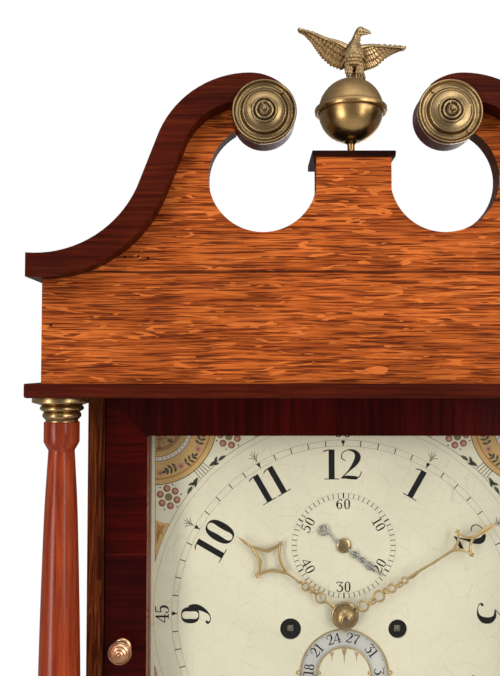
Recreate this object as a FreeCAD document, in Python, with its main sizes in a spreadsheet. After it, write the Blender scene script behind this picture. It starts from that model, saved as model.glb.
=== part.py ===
import FreeCAD, Part
import math
import operator
import os

import Sketcher
from FreeCAD import Placement, Rotation, Vector

# Tall case clock with a scrolled hood and an eight-day weight-driven movement.
# Millimetres, +Z up. The origin is on the floor, in the middle of the footprint.
# The front faces -Y, and the wall plane is at the back.

# Driving sizes

SIZES = {
    # one clearance for each kind of fit
    "pivot_gap": 0.05,
    "shoulder_gap": 0.2,
    "joinery_gap": 1.5,
    "slide_gap": 1.0,
    "board": 18,
    "thin_board": 14,
    "overrun": 5,
    # how far a turned curve may lie from its chords
    "chord_gap": 0.25,
    # the wall stands as far behind the origin as the rosettes reach in front of it
    "wall_place": 135,
    # base
    "base_width": 470,
    "base_depth": 250,
    "base_top": 500,
    "ledge_width": 32,
    "backboard_rebate": 6,
    "foot_height": 110,
    "foot_width": 120,
    "foot_thick": 22,
    "rear_foot_width": 100,
    "foot_arch_height": 62,
    "foot_arch_radius": 55,
    "foot_step": 18,
    "base_moulding_height": 46,
    "plinth_moulding_height": 20,
    "plinth_moulding_reach": 9,
    # trunk
    "trunk_width": 350,
    "trunk_depth": 200,
    "throat_height": 46,
    "doorway_width": 210,
    "doorway_bottom": 706,
    "doorway_side_top": 1424,
    "doorway_rise": 30,
    "door_lap": 6,
    "door_lip": 8,
    "door_body": 16,
    "door_play": 1.5,
    "screw_hole_radius": 3,
    "screw_hole_x": 120,
    "screw_hole_z": 1450,
    # trunk door hinges and lock
    "hinge_pin_radius": 2,
    "hinge_knuckle_radius": 4,
    "hinge_edge_gap": 0.3,
    "hinge_height": 54,
    "hinge_leaf": 2,
    "hinge_leaf_width": 20,
    "hinge_inset": 110,
    "lock_z": 1090,
    "lock_x": 84,
    "lock_width": 34,
    "lock_height": 46,
    "lock_depth": 12,
    "lock_wall": 1.5,
    "bolt_height": 10,
    "bolt_thick": 4,
    "bolt_length": 16,
    "bolt_gap": 0.3,
    "key_hole_radius": 3.2,
    "key_shank_radius": 2.4,
    "key_shank_out": 16,
    "key_bow_radius": 9,
    "key_bow_wire": 2.2,
    "key_bow_thick": 3.4,
    "key_bit_length": 7,
    "key_bit_height": 4,
    "escutcheon_width": 24,
    "escutcheon_height": 40,
    "escutcheon_thick": 1.2,
    # hood
    "hood_width": 426,
    "hood_base_top": 1571,
    "hood_base_height": 35,
    "hood_base_reach": 40,
    "hood_front": 56,
    "hood_top": 1966,
    "column_x": 228,
    "column_y": 82,
    "entablature_width": 478.4,
    "entablature_front": 102,
    "frieze_board": 15,
    "cornice_height": 11,
    "cornice_reach": 10,
    "dust_board_z": 2060,
    "dust_board": 8,
    "side_frieze_top": 2074,
    # hood door
    "door_width": 394,
    "door_bottom": 1572.5,
    "door_top": 1964.5,
    "door_stile": 33.5,
    "door_rail": 31,
    "door_front": 62,
    "door_rebate": 5,
    "glass": 2,
    "knob_x": 182.5,
    "knob_z": 1764.6,
    "knob_radius": 9.4,
    "knob_out": 19,
    "pivot_x": 190,
    "pivot_back": 3,
    "pivot_radius": 2,
    "pivot_length": 7,
    "pivot_strap": 2,
    "pivot_strap_width": 12,
    "pivot_strap_reach": 30,
    # columns, each size from the column's foot or its axis
    "column_top_radius": 10,
    "column_upper_radius": 12.6,
    "column_middle_radius": 15.8,
    "column_foot_radius": 16.6,
    "column_neck_drop": 42,
    "column_upper_drop": 90,
    "column_middle_drop": 212,
    "column_foot_rise": 49,
    "shaft_bend": 1500,
    "collar_radius": 13.8,
    "collar_drop": 35,
    "capital_height": 19.4,
    "capital_radius": 23,
    "capital_foot_radius": 13,
    "capital_disc": 5,
    "column_base_height": 18,
    "column_base_radius": 23,
    # pediment, heights above the frieze's lower edge
    "neck_thick": 17,
    "neck_end_x": 247.2,
    "neck_low": 90.7,
    "neck_width": 18,
    "neck_lower_bend": 83,
    "neck_rise_x": 164.2,
    "neck_rise_z": 158.2,
    "neck_inner_rise_x": 145.7,
    "neck_inner_rise_z": 150.6,
    "neck_turn_x": 148,
    "neck_turn_z": 200,
    "neck_inner_turn_x": 130.5,
    "neck_inner_turn_z": 189,
    "neck_upper_bend": 74.4,
    "neck_inner_bend": 50,
    "neck_top_x": 80,
    "neck_top_z": 244.5,
    "neck_tip_x": 56,
    "neck_tip_z": 236,
    "neck_tip_bend": 38,
    "neck_inner_top_x": 95,
    "neck_inner_top_z": 222,
    "scroll_x": 69.4,
    "scroll_z": 213.8,
    "scroll_radius": 24,
    "rosette_radius": 24.4,
    "rosette_out": 8,
    "rosette_boss": 8,
    "cutout_x": 70,
    "cutout_z": 169,
    "cutout_radius": 42,
    "block_half_width": 29,
    "block_top": 185.3,
    "cap_height": 4.5,
    "cap_reach": 3,
    "cap_depth": 46,
    # finial
    "finial_y": 87,
    "finial_foot_radius": 11,
    "finial_neck_radius": 3.4,
    "ball_rise": 36.4,
    "ball_radius": 25.6,
    "ball_ring_radius": 28.4,
    "ball_ring_half": 2.2,
    "eagle_height": 44,
    "eagle_body_radius": 8,
    "wing_span": 88,
    "wing_thick": 5,
    # dial
    "dial_z": 1780,
    "dial_width": 330,
    "dial_front": 28,
    "dial_thick": 1.5,
    "mask_opening": 328,
    "mask_drop": 10.5,
    "mask_thick": 12,
    "mask_gap": 2,
    "seconds_z": 57.3,
    "seconds_hole_radius": 2.6,
    "winding_x": 45.5,
    "winding_drop": 13,
    "winding_hole_radius": 8.9,
    "strike_hole_radius": 7.9,
    "date_z": 51,
    "date_inner": 23,
    "date_outer": 37,
    "date_half_angle_share": 0.27,
    "date_disc_radius": 40,
    "date_disc": 1,
    "date_disc_gap": 1,
    "date_bore": 2.2,
    # hands
    "hour_length": 111,
    "minute_length": 151,
    "second_length": 41.8,
    "second_boss_radius": 2.4,
    "hand_thick": 1.2,
    "hour_hand_front": 33.5,
    "minute_hand_front": 38,
    "second_hand_front": 30.6,
    "hand_boss_radius": 9,
    "nut_radius": 9.8,
    "nut_height": 6,
    # movement frame
    "dial_foot": 24,
    "dial_foot_radius": 4,
    "dial_foot_x": 62,
    "dial_foot_low": 58,
    "dial_foot_high": 97,
    "plate": 3,
    "plate_space": 60,
    "plate_half_width": 70,
    "plate_below": 66,
    "plate_above": 105,
    "pillar_radius": 4.5,
    "pillar_low_x": 62.5,
    "pillar_low": 60.5,
    "pillar_high_x": 50,
    "pillar_high": 98,
    "seatboard": 20,
    "seatboard_front": 15,
    "seatboard_back": 75,
    "line_slot": 8,
    "line_slot_low": 8,
    "line_slot_high": 46,
    # arbors: each turn is degrees from +X, seen from the arbor before
    "arbor_radius": 2,
    "pivot_pin": 0.9,
    "pin_turn": 80,
    "warning_turn": 84,
    "fly_turn": 101,
    "stud_turn": -60,
    "pallet_z": 83.6,
    # wheels: modules and places along the arbor, from the front plate's inner face
    "centre_module": 1,
    "third_module": 0.9,
    "pin_module": 0.85,
    "warning_module": 0.75,
    "cannon_module": 0.9,
    "wheel_thick": 2,
    "pinion_thick": 6,
    "great_place": 4,
    "third_place": 21,
    "escape_place": 39,
    "centre_place": 49,
    "pin_place": 54,
    "warning_place": 33,
    "fly_place": 12,
    "fly_pinion_place": 31,
    "escape_radius": 17.5,
    "escape_depth": 3,
    "rim": 3.5,
    "hub_radius": 5,
    "spoke": 2.6,
    "barrel_place": 8,
    "barrel_length": 38,
    "barrel_radius": 22.75,
    "barrel_flange": 1.5,
    "barrel_flange_reach": 3,
    "winding_arbor_radius": 3.2,
    "winding_square": 5,
    "winding_square_back": 0.6,
    "hour_wheel_place": 18,
    "cannon_wheel_place": 10,
    "hour_pipe_radius": 4.5,
    "hour_hub_radius": 7,
    "cannon_pipe_radius": 3,
    "centre_arbor_radius": 1.6,
    "minute_stud_radius": 0.8,
    "fly_radius": 9,
    "fly_length": 17,
    "fly_thick": 0.8,
    # lines, pulleys and weights
    "line_radius": 1.25,
    "line_y": 27,
    "pulley_radius": 22,
    "pulley_thick": 9,
    "pulley_rim": 2.5,
    "pulley_pin_radius": 2.5,
    "stirrup_thick": 2,
    "stirrup_width": 12,
    "stirrup_gap": 1,
    "weight_radius": 33,
    "weight_height": 180,
    "weight_low": 420,
    "weight_neck": 46,
    "weight_crown": 14,
    # pendulum
    "pendulum_y": 85.5,
    "pendulum_length": 994,
    "rod_radius": 2.5,
    "suspension_width": 10,
    "suspension_thick": 0.8,
    "suspension_rise": 9,
    "suspension_drop": 14,
    "bob_radius": 57.5,
    "bob_thick": 30,
    "bob_edge": 6,
    "nut_drop": 14,
    "rating_nut_radius": 9,
    "rating_nut_height": 8,
    "cock_width": 40,
    "cock_depth": 30,
    "cock_height": 8,
    "cock_gap": 1.5,
    # pallets and crutch
    "pallet_thick": 3,
    "pallet_inner_radius": 19.2,
    "pallet_outer_radius": 23.2,
    "pallet_half_angle_share": 0.16,
    "crutch_arbor_radius": 1.6,
    "crutch_wire_radius": 1.2,
    "crutch_length": 66,
    "crutch_gap": 0.4,
    "crutch_fork": 2.5,
    "crutch_place": 5,
    # bell and hammer
    "bell_x": -8,
    "bell_y": 26,
    "bell_post_gap": 1,
    "bell_low": 112,
    "bell_radius": 46,
    "bell_height": 36,
    "bell_wall": 2.5,
    "bell_post_radius": 2.5,
    "bell_arm_height": 3,
    "hammer_x": -61.5,
    "hammer_z": 50,
    "hammer_rod_radius": 1.5,
    "hammer_head_radius": 4,
    "hammer_head_length": 14,
    "hammer_head_gap": 1.5,
}

doc = FreeCAD.newDocument("tall_case_clock")
sheet = doc.addObject("Spreadsheet::Sheet", "Sizes")
for row, (word, value) in enumerate(SIZES.items(), start=1):
    sheet.set(f"A{row}", word)
    sheet.set(f"B{row}", str(value))
    sheet.setAlias(f"B{row}", word)
doc.recompute()


class Size:
    """A length: its number now, and the expression that follows the sheet."""

    def __init__(self, number, text):
        self.number = number
        self.text = text

    def __add__(self, other):
        return worked_out(self, "+", other)

    def __radd__(self, other):
        return worked_out(other, "+", self)

    def __sub__(self, other):
        return worked_out(self, "-", other)

    def __rsub__(self, other):
        return worked_out(other, "-", self)

    def __mul__(self, other):
        return worked_out(self, "*", other)

    def __rmul__(self, other):
        return worked_out(other, "*", self)

    def __truediv__(self, other):
        return worked_out(self, "/", other)

    def __neg__(self):
        return worked_out(0, "-", self)


SIGNS = {
    "+": operator.add,
    "-": operator.sub,
    "*": operator.mul,
    "/": operator.truediv,
}


def as_size(value):
    return value if isinstance(value, Size) else Size(value, f"{value:.12g}")


def worked_out(first, sign, second):
    one = as_size(first)
    two = as_size(second)
    return Size(SIGNS[sign](one.number, two.number), f"({one.text} {sign} {two.text})")


def root(value):
    return Size(math.sqrt(value.number), f"sqrt({value.text})")


def along(reach, turn):
    """How far along x a distance goes in a direction given in degrees from +X."""
    share = math.cos(math.radians(turn.number))
    return Size(reach.number * share, f"({reach.text} * cos({turn.text} * 1deg))")


def upward(reach, turn):
    share = math.sin(math.radians(turn.number))
    return Size(reach.number * share, f"({reach.text} * sin({turn.text} * 1deg))")


class Sizes:
    """The sheet's cells by name."""

    def __getattr__(self, word):
        return Size(float(sheet.get(word)), f"Sizes.{word}")


size = Sizes()

# Ways of making a piece

NO_TURN = Rotation()
FACING_FRONT = Rotation(Vector(1, 0, 0), 90)
FACING_BACK = Rotation(Vector(1, 0, 0), -90)
FACING_RIGHT = Rotation(Vector(0, 0, 1), 90) * Rotation(Vector(1, 0, 0), 90)
ALONG_X = Rotation(Vector(0, 1, 0), 90)
TURNS = {
    "flat": NO_TURN,
    "front": FACING_FRONT,
    "side": FACING_RIGHT,
    "up": NO_TURN,
    "back": FACING_BACK,
}


def bind(thing, **lengths):
    for prop, length in lengths.items():
        thing.setExpression(prop, as_size(length).text)


def put(thing, x, y, z, turn=NO_TURN):
    here = [as_size(value) for value in (x, y, z)]
    thing.Placement = Placement(Vector(*[value.number for value in here]), turn)
    for axis, value in zip("xyz", here):
        thing.setExpression(f"Placement.Base.{axis}", value.text)
    return thing


def block(name, x, y, z):
    """A squared board between two places along each axis."""
    piece = doc.addObject("Part::Box", name)
    bind(piece, Length=x[1] - x[0], Width=y[1] - y[0], Height=z[1] - z[0])
    return put(piece, x[0], y[0], z[0])


def rod(name, axis, centre, radius, span):
    """A round bar along x, y or z; centre holds the other two places, in order."""
    piece = doc.addObject("Part::Cylinder", name)
    bind(piece, Radius=radius, Height=span[1] - span[0])
    if axis == "x":
        return put(piece, span[0], centre[0], centre[1], ALONG_X)
    if axis == "y":
        return put(piece, centre[0], span[0], centre[1], FACING_BACK)
    return put(piece, centre[0], centre[1], span[0])


def cut(name, base, *tools):
    for step, tool in enumerate(tools):
        piece = doc.addObject("Part::Cut", f"{name}_{step}")
        piece.Base = base
        piece.Tool = tool
        base = piece
    return base


def fuse(name, *pieces):
    piece = doc.addObject("Part::MultiFuse", name)
    piece.Shapes = list(pieces)
    return piece


def mirrored(piece):
    twin = doc.addObject("Part::Mirroring", f"{piece.Name}_mirrored")
    twin.Source = piece
    twin.Normal = Vector(1, 0, 0)
    return twin


def both_sides(*pieces):
    return [one for piece in pieces for one in (piece, mirrored(piece))]


nodes = []


def node(name, *pieces):
    """One kept piece, or a set of like pieces, under its own name."""
    if len(pieces) == 1:
        kept = pieces[0]
    else:
        kept = doc.addObject("Part::Compound", f"{name}_set")
        kept.Links = list(pieces)
    kept.Label = name
    nodes.append(kept)
    return kept


def own(name, shape):
    """A form that no primitive or sketch makes, such as a toothed wheel."""
    piece = doc.addObject("Part::Feature", name)
    piece.Shape = shape
    return piece


def bend_centre(start, end, bend):
    """The centre of the short arc between two points; a bend above zero turns left."""
    chord = end - start
    across = Vector(-chord.y, chord.x, 0)
    reach = math.sqrt(max(bend * bend - chord.Length ** 2 / 4, 0))
    across.normalize()
    return (start + end) / 2 + across * math.copysign(reach, bend)


def draw(sketch, corners):
    """A closed outline. A corner is (x, y), or (x, y, bend) where an arc leaves it."""
    ends = [[as_size(value) for value in corner[:2]] for corner in corners]
    bends = [as_size(corner[2]) if len(corner) > 2 else None for corner in corners]
    points = [Vector(x.number, y.number, 0) for x, y in ends]
    first = sketch.GeometryCount
    tips = []
    for step, start in enumerate(points):
        end = points[(step + 1) % len(points)]
        bend = bends[step]
        if bend is None:
            sketch.addGeometry(Part.LineSegment(start, end), False)
            tips.append((1, 2))
            continue
        centre = bend_centre(start, end, bend.number)
        one, two = (start, end) if bend.number > 0 else (end, start)
        angles = [math.atan2(p.y - centre.y, p.x - centre.x) for p in (one, two)]
        circle = Part.Circle(centre, Vector(0, 0, 1), abs(bend.number))
        sketch.addGeometry(Part.ArcOfCircle(circle, *angles), False)
        tips.append((1, 2) if bend.number > 0 else (2, 1))
    rules = []
    values = []
    for step, tip in enumerate(tips):
        after = (step + 1) % len(tips)
        rules.append(Sketcher.Constraint("Coincident", first + step, tip[1], first + after, tips[after][0]))
        values.append(None)
        for kind, value in zip(("DistanceX", "DistanceY"), ends[step]):
            rules.append(Sketcher.Constraint(kind, -1, 1, first + step, tip[0], value.number))
            values.append(value)
        if bends[step] is not None:
            length = abs(bends[step].number)
            rules.append(Sketcher.Constraint("Radius", first + step, length))
            values.append(bends[step] if bends[step].number > 0 else -bends[step])
    start = sketch.ConstraintCount
    sketch.addConstraint(rules)
    for step, value in enumerate(values, start=start):
        if value is not None:
            sketch.setExpression(f"Constraints[{step}]", value.text)


def draw_ring(sketch, x, y, radius):
    x, y, radius = as_size(x), as_size(y), as_size(radius)
    circle = Part.Circle(Vector(x.number, y.number, 0), Vector(0, 0, 1), radius.number)
    at = sketch.addGeometry(circle, False)
    start = sketch.ConstraintCount
    sketch.addConstraint(Sketcher.Constraint("DistanceX", -1, 1, at, 3, x.number))
    sketch.addConstraint(Sketcher.Constraint("DistanceY", -1, 1, at, 3, y.number))
    sketch.addConstraint(Sketcher.Constraint("Radius", at, radius.number))
    for step, value in enumerate((x, y, radius), start=start):
        sketch.setExpression(f"Constraints[{step}]", value.text)


def sketch_in(body, role):
    plane = next(p for p in body.Origin.OriginFeatures if p.Role == role)
    sketch = body.newObject("Sketcher::SketchObject", f"{body.Name}_sketch")
    sketch.AttachmentSupport = (plane, [""])
    sketch.MapMode = "FlatFace"
    return sketch


def slab(name, facing, place, corners, thick, rings=()):
    """A board cut to an outline: flat, or facing the front or the side."""
    body = doc.addObject("PartDesign::Body", name)
    sketch = sketch_in(body, "XY_Plane")
    if corners:
        draw(sketch, corners)
    for ring in rings:
        draw_ring(sketch, *ring)
    pad = body.newObject("PartDesign::Pad", f"{name}_pad")
    pad.Profile = sketch
    sketch.Visibility = False
    bind(pad, Length=thick)
    return put(body, *place, TURNS[facing])


def chords(start, end, bend):
    """Corners along an arc, as many as keep the chords within the sheet's gap of it."""
    x, y = [as_size(value) for value in start[:2]]
    wide = end[0] - x
    tall = end[1] - y
    span = root(wide * wide + tall * tall)
    depth = root(bend * bend - span * span / 4)
    radius = abs(bend.number)
    turn = math.asin(span.number / 2 / radius)
    steps = max(2, math.ceil(turn / math.acos(1 - size.chord_gap.number / radius)))
    side = math.copysign(1, bend.number)
    places = []
    for step in range(1, steps):
        share = step / steps
        off = span * (share - 1 / 2)
        rise = (root(bend * bend - off * off) - depth) * side
        places.append((x + wide * share + tall / span * rise, y + tall * share - wide / span * rise))
    return places


def turned(name, pointing, place, corners):
    """A turned piece: corners are (radius, height) along its own axis.

    A corner is (radius, height, bend) where a curve leaves it, and the curve is cut in chords.
    """
    body = doc.addObject("PartDesign::Body", name)
    sketch = sketch_in(body, "XZ_Plane")
    outline = []
    for start, end in zip(corners, [*corners[1:], corners[0]]):
        outline.append(start[:2])
        if len(start) > 2:
            outline += chords(start, end, start[2])
    draw(sketch, outline)
    turning = body.newObject("PartDesign::Revolution", f"{name}_turning")
    turning.Profile = sketch
    turning.ReferenceAxis = (sketch, ["V_Axis"])
    turning.Angle = 360
    return put(body, *place, TURNS[pointing])


def moulding(name, half_width, front, back, low, corners):
    """A moulding run round the two sides and the front, with mitred corners.

    corners are (outwards, upwards) from the face that it is planted on.
    """
    path = doc.addObject("Sketcher::SketchObject", f"{name}_path")
    profile = doc.addObject("Sketcher::SketchObject", f"{name}_profile")
    turn = Rotation(Vector(0, 0, 1), 180) * Rotation(Vector(1, 0, 0), 90)
    draw(profile, corners)
    put(profile, -half_width, back, low, turn)
    run(path, [(-half_width, back), (-half_width, -front), (half_width, -front), (half_width, back)])
    put(path, 0, 0, low)
    sweep = doc.addObject("Part::Sweep", name)
    sweep.Sections = [profile]
    sweep.Spine = (path, ["Edge1", "Edge2", "Edge3"])
    sweep.Solid = True
    sweep.Frenet = False
    sweep.Transition = "Right corner"
    return sweep


def run(sketch, places):
    """An open line through places, for a moulding to follow."""
    ends = [[as_size(value) for value in place] for place in places]
    points = [Vector(x.number, y.number, 0) for x, y in ends]
    for step in range(len(points) - 1):
        sketch.addGeometry(Part.LineSegment(points[step], points[step + 1]), False)
    for step in range(1, len(points) - 1):
        sketch.addConstraint(Sketcher.Constraint("Coincident", step - 1, 2, step, 1))
    for step, end in enumerate(ends):
        line, tip = (step, 1) if step < len(points) - 1 else (step - 1, 2)
        for kind, value in zip(("DistanceX", "DistanceY"), end):
            at = sketch.addConstraint(Sketcher.Constraint(kind, -1, 1, line, tip, value.number))
            sketch.setExpression(f"Constraints[{at}]", value.text)


def bow(half, rise):
    """The radius of an arch or a dome from its half width and its rise."""
    return (half * half + rise * rise) / (rise * 2)


# Planes that many pieces share

wall = size.wall_place
base_front = wall - size.base_depth
backboard_front = wall - size.thin_board
trunk_front = wall - size.trunk_depth
trunk_half = size.trunk_width / 2
trunk_inner = trunk_half - size.board
hood_half = size.hood_width / 2
hood_inner = hood_half - size.thin_board
hood_base_bottom = size.hood_base_top - size.hood_base_height
door_half = size.door_width / 2
frieze_half = size.entablature_width / 2
dial_back = size.dial_thick - size.dial_front
plate_front = dial_back + size.dial_foot
plate_inner = plate_front + size.plate
back_plate = plate_inner + size.plate_space
back_plate_rear = back_plate + size.plate
seat_top = size.dial_z - size.plate_below
seat_bottom = seat_top - size.seatboard
winding_z = size.dial_z - size.winding_drop
line_x = size.barrel_radius + size.line_radius + size.pivot_gap
mask_back = -size.dial_front - size.mask_gap
mask_front = mask_back - size.mask_thick

# Base


def base_boards():
    half = size.base_width / 2
    front = block(
        "base_front", (-half, half), (base_front, base_front + size.board), (size.foot_height, size.base_top)
    )
    inner_front = base_front + size.board
    side = block("base_side", (half - size.board, half), (inner_front, wall), (size.foot_height, size.base_top))
    rebate = block(
        "base_side_rebate",
        (half - size.board - size.overrun, half - size.board + size.backboard_rebate),
        (backboard_front, wall + size.overrun),
        (size.foot_height - size.overrun, size.base_top + size.overrun),
    )
    floor_board = block(
        "base_floor",
        (size.board - half, half - size.board),
        (inner_front, backboard_front),
        (size.foot_height, size.foot_height + size.board),
    )
    ledge = block(
        "base_ledge",
        (size.board - half, half - size.board),
        (inner_front, inner_front + size.ledge_width),
        (size.base_top - size.board, size.base_top),
    )
    side_ledge = block(
        "base_side_ledge",
        (trunk_half, half - size.board),
        (inner_front + size.ledge_width, backboard_front),
        (size.base_top - size.board, size.base_top),
    )
    rebated = cut("base_side_rebated", side, rebate)
    node("base_boards", front, *both_sides(rebated), floor_board, ledge, *both_sides(side_ledge))


def foot_outline(width):
    """A bracket foot seen square on, its inner edge stepped and hollowed."""
    arch = size.foot_arch_height
    return [
        (0, 0),
        (width - arch, 0),
        (width - arch, size.foot_step, -size.foot_arch_radius),
        (width - size.foot_step, arch),
        (width, arch),
        (width, size.foot_height),
        (0, size.foot_height),
    ]


def turned_about(corners):
    """The same outline, left for right."""
    return [(-corner[0], corner[1], *(-bend for bend in corner[2:])) for corner in corners]


def bracket_feet():
    half = size.base_width / 2
    thick = size.foot_thick
    outline = foot_outline(size.foot_width)
    front = slab("foot_front", "front", (-half, base_front + thick, 0), outline, thick)
    side = slab("foot_side", "side", (-half, base_front, 0), outline, thick)
    rear_outline = turned_about(foot_outline(size.rear_foot_width))
    rear = slab("foot_rear", "side", (-half, wall, 0), rear_outline, thick)
    node("bracket_feet", *both_sides(fuse("foot_corner", front, side), rear))


def case_mouldings():
    """The mouldings under the hood, above the base and round the plinth."""
    half = size.base_width / 2
    front_reach = trunk_front - base_front
    height = size.base_moulding_height
    upper = moulding(
        "base_top_moulding",
        trunk_half,
        -trunk_front,
        wall,
        size.base_top,
        [
            (0, 0),
            (front_reach, 0),
            (front_reach, height * 0.2),
            (front_reach * 0.9, height * 0.26, -height * 0.9),
            (front_reach * 0.3, height * 0.8),
            (front_reach * 0.16, height * 0.86),
            (front_reach * 0.16, height),
            (0, height),
        ],
    )
    out = size.plinth_moulding_reach
    rise = size.plinth_moulding_height
    lower = moulding(
        "plinth_moulding",
        half,
        -base_front,
        wall,
        size.foot_height - rise / 4,
        [(0, 0), (out, 0), (out, rise * 0.45, rise), (out * 0.2, rise * 0.9), (0, rise)],
    )
    height = size.throat_height
    reach = hood_half - trunk_half
    throat = moulding(
        "throat_moulding",
        trunk_half,
        -trunk_front,
        wall,
        hood_base_bottom - height,
        [
            (0, 0),
            (reach * 0.14, 0),
            (reach * 0.14, height * 0.14),
            (reach * 0.3, height * 0.2, height),
            (reach * 0.86, height * 0.76),
            (reach, height * 0.84),
            (reach, height),
            (0, height),
        ],
    )
    node("case_mouldings", throat, upper, lower)


# Trunk




def arched(name, place_y, thick, half, low, side_top, rise):
    radius = bow(half, rise)
    return slab(
        name,
        "front",
        (0, place_y + thick, 0),
        [(-half, low), (half, low), (half, side_top, radius), (-half, side_top)],
        thick,
    )


def trunk():
    inner_front = trunk_front + size.board
    panel = block(
        "trunk_front_panel", (-trunk_half, trunk_half), (trunk_front, inner_front), (size.base_top, hood_base_bottom)
    )
    opening = arched(
        "doorway",
        trunk_front - size.overrun,
        size.board + size.overrun * 2,
        size.doorway_width / 2,
        size.doorway_bottom,
        size.doorway_side_top,
        size.doorway_rise,
    )
    node("trunk_front_frame", cut("trunk_front_cut", panel, opening))
    side = block(
        "trunk_side", (trunk_inner, trunk_half), (inner_front, wall), (size.base_top, hood_base_bottom)
    )
    cheek = block(
        "trunk_cheek",
        (trunk_inner, trunk_half),
        (-size.seatboard_front, backboard_front),
        (hood_base_bottom, seat_bottom),
    )
    node("trunk_side_boards", *both_sides(fuse("trunk_side_and_cheek", side, cheek)))


def backboard():
    half = size.base_width / 2 - size.board + size.backboard_rebate
    upper = hood_inner - size.slide_gap
    board = slab(
        "backboard",
        "front",
        (0, wall, 0),
        [
            (-half, size.foot_height),
            (half, size.foot_height),
            (half, size.base_top),
            (trunk_inner, size.base_top),
            (trunk_inner, hood_base_bottom),
            (upper, hood_base_bottom),
            (upper, size.hood_top - size.slide_gap),
            (-upper, size.hood_top - size.slide_gap),
            (-upper, hood_base_bottom),
            (-trunk_inner, hood_base_bottom),
            (-trunk_inner, size.base_top),
            (-half, size.base_top),
        ],
        size.thin_board,
        [(-size.screw_hole_x, size.screw_hole_z, size.screw_hole_radius)],
    )
    node("backboard", board)


def seatboard():
    board = block(
        "seat", (-trunk_half, trunk_half), (-size.seatboard_front, size.seatboard_back), (seat_bottom, seat_top)
    )
    half_slot = size.line_slot / 2
    slots = [
        block(
            f"line_slot_{side}",
            (x - half_slot, x + half_slot),
            (plate_inner + size.line_slot_low, plate_inner + size.line_slot_high),
            (seat_bottom - size.overrun, seat_top + size.overrun),
        )
        for side, x in (("right", size.winding_x - line_x), ("left", -size.winding_x - line_x))
    ]
    node("seatboard", cut("seat_cut", board, *slots))


# Trunk door, its hinges and lock

door_lap_half = size.doorway_width / 2 + size.door_lap
hinge_x = door_lap_half + size.hinge_knuckle_radius + size.hinge_edge_gap
hinge_y = trunk_front - size.door_lip


def trunk_door():
    lap = size.door_lap
    lip = arched(
        "door_lip_panel",
        trunk_front - size.door_lip,
        size.door_lip,
        door_lap_half,
        size.doorway_bottom - lap,
        size.doorway_side_top + lap,
        size.doorway_rise,
    )
    play = size.door_play
    body = arched(
        "door_body_panel",
        trunk_front,
        size.door_body,
        size.doorway_width / 2 - play,
        size.doorway_bottom + play,
        size.doorway_side_top - play,
        size.doorway_rise,
    )
    hole = rod(
        "door_key_hole",
        "y",
        (-size.lock_x, size.lock_z),
        size.key_hole_radius,
        (trunk_front - size.door_lip - size.overrun, trunk_front + size.door_body + size.overrun),
    )
    slot = block(
        "door_key_slot",
        (-size.lock_x - size.key_bit_height / 2, size.key_bit_height / 2 - size.lock_x),
        (trunk_front - size.door_lip - size.overrun, trunk_front + size.door_body + size.overrun),
        (size.lock_z - size.key_bit_length - size.bolt_gap * 2, size.lock_z),
    )
    node("trunk_door", cut("trunk_door_cut", fuse("trunk_door_panel", lip, body), hole, slot))


def trunk_hinges():
    """Butt hinges: the case leaves carry the pins, the door leaves turn on them."""
    gap = size.pivot_gap
    third = size.hinge_height / 3
    case_parts = []
    door_parts = []
    lows = (
        size.doorway_bottom + size.hinge_inset,
        size.doorway_side_top - size.hinge_inset - size.hinge_height,
    )
    for number, low in enumerate(lows):
        high = low + size.hinge_height
        pin = rod(f"hinge_pin_{number}", "z", (hinge_x, hinge_y), size.hinge_pin_radius, (low, high))
        knuckle = rod(
            f"hinge_knuckle_{number}", "z", (hinge_x, hinge_y), size.hinge_knuckle_radius, (low, low + third)
        )
        upper = rod(
            f"hinge_upper_{number}", "z", (hinge_x, hinge_y), size.hinge_knuckle_radius, (high - third, high)
        )
        leaf = block(
            f"hinge_case_leaf_{number}",
            (hinge_x + size.hinge_knuckle_radius / 2, hinge_x + size.hinge_leaf_width),
            (trunk_front - size.hinge_leaf, trunk_front),
            (low, high),
        )
        web = block(
            f"hinge_case_web_{number}",
            (hinge_x + size.hinge_knuckle_radius / 2, hinge_x + size.hinge_knuckle_radius),
            (hinge_y, trunk_front - size.hinge_leaf / 2),
            (low, low + third),
        )
        web_upper = block(
            f"hinge_case_web_upper_{number}",
            (hinge_x + size.hinge_knuckle_radius / 2, hinge_x + size.hinge_knuckle_radius),
            (hinge_y, trunk_front - size.hinge_leaf / 2),
            (high - third, high),
        )
        case_parts.append(fuse(f"hinge_case_{number}", pin, knuckle, upper, leaf, web, web_upper))
        middle = rod(
            f"hinge_middle_{number}",
            "z",
            (hinge_x, hinge_y),
            size.hinge_knuckle_radius,
            (low + third + gap, high - third - gap),
        )
        door_leaf = block(
            f"hinge_door_leaf_{number}",
            (hinge_x - size.hinge_leaf_width, hinge_x - size.hinge_knuckle_radius / 2),
            (hinge_y - size.hinge_leaf, hinge_y),
            (low + third + gap, high - third - gap),
        )
        bore = rod(
            f"hinge_bore_{number}",
            "z",
            (hinge_x, hinge_y),
            size.hinge_pin_radius + gap,
            (low, high),
        )
        door_parts.append(cut(f"hinge_door_{number}", fuse(f"hinge_door_blank_{number}", middle, door_leaf), bore))
    node("trunk_hinges_case", *case_parts)
    node("trunk_hinges_door", *door_parts)


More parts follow.
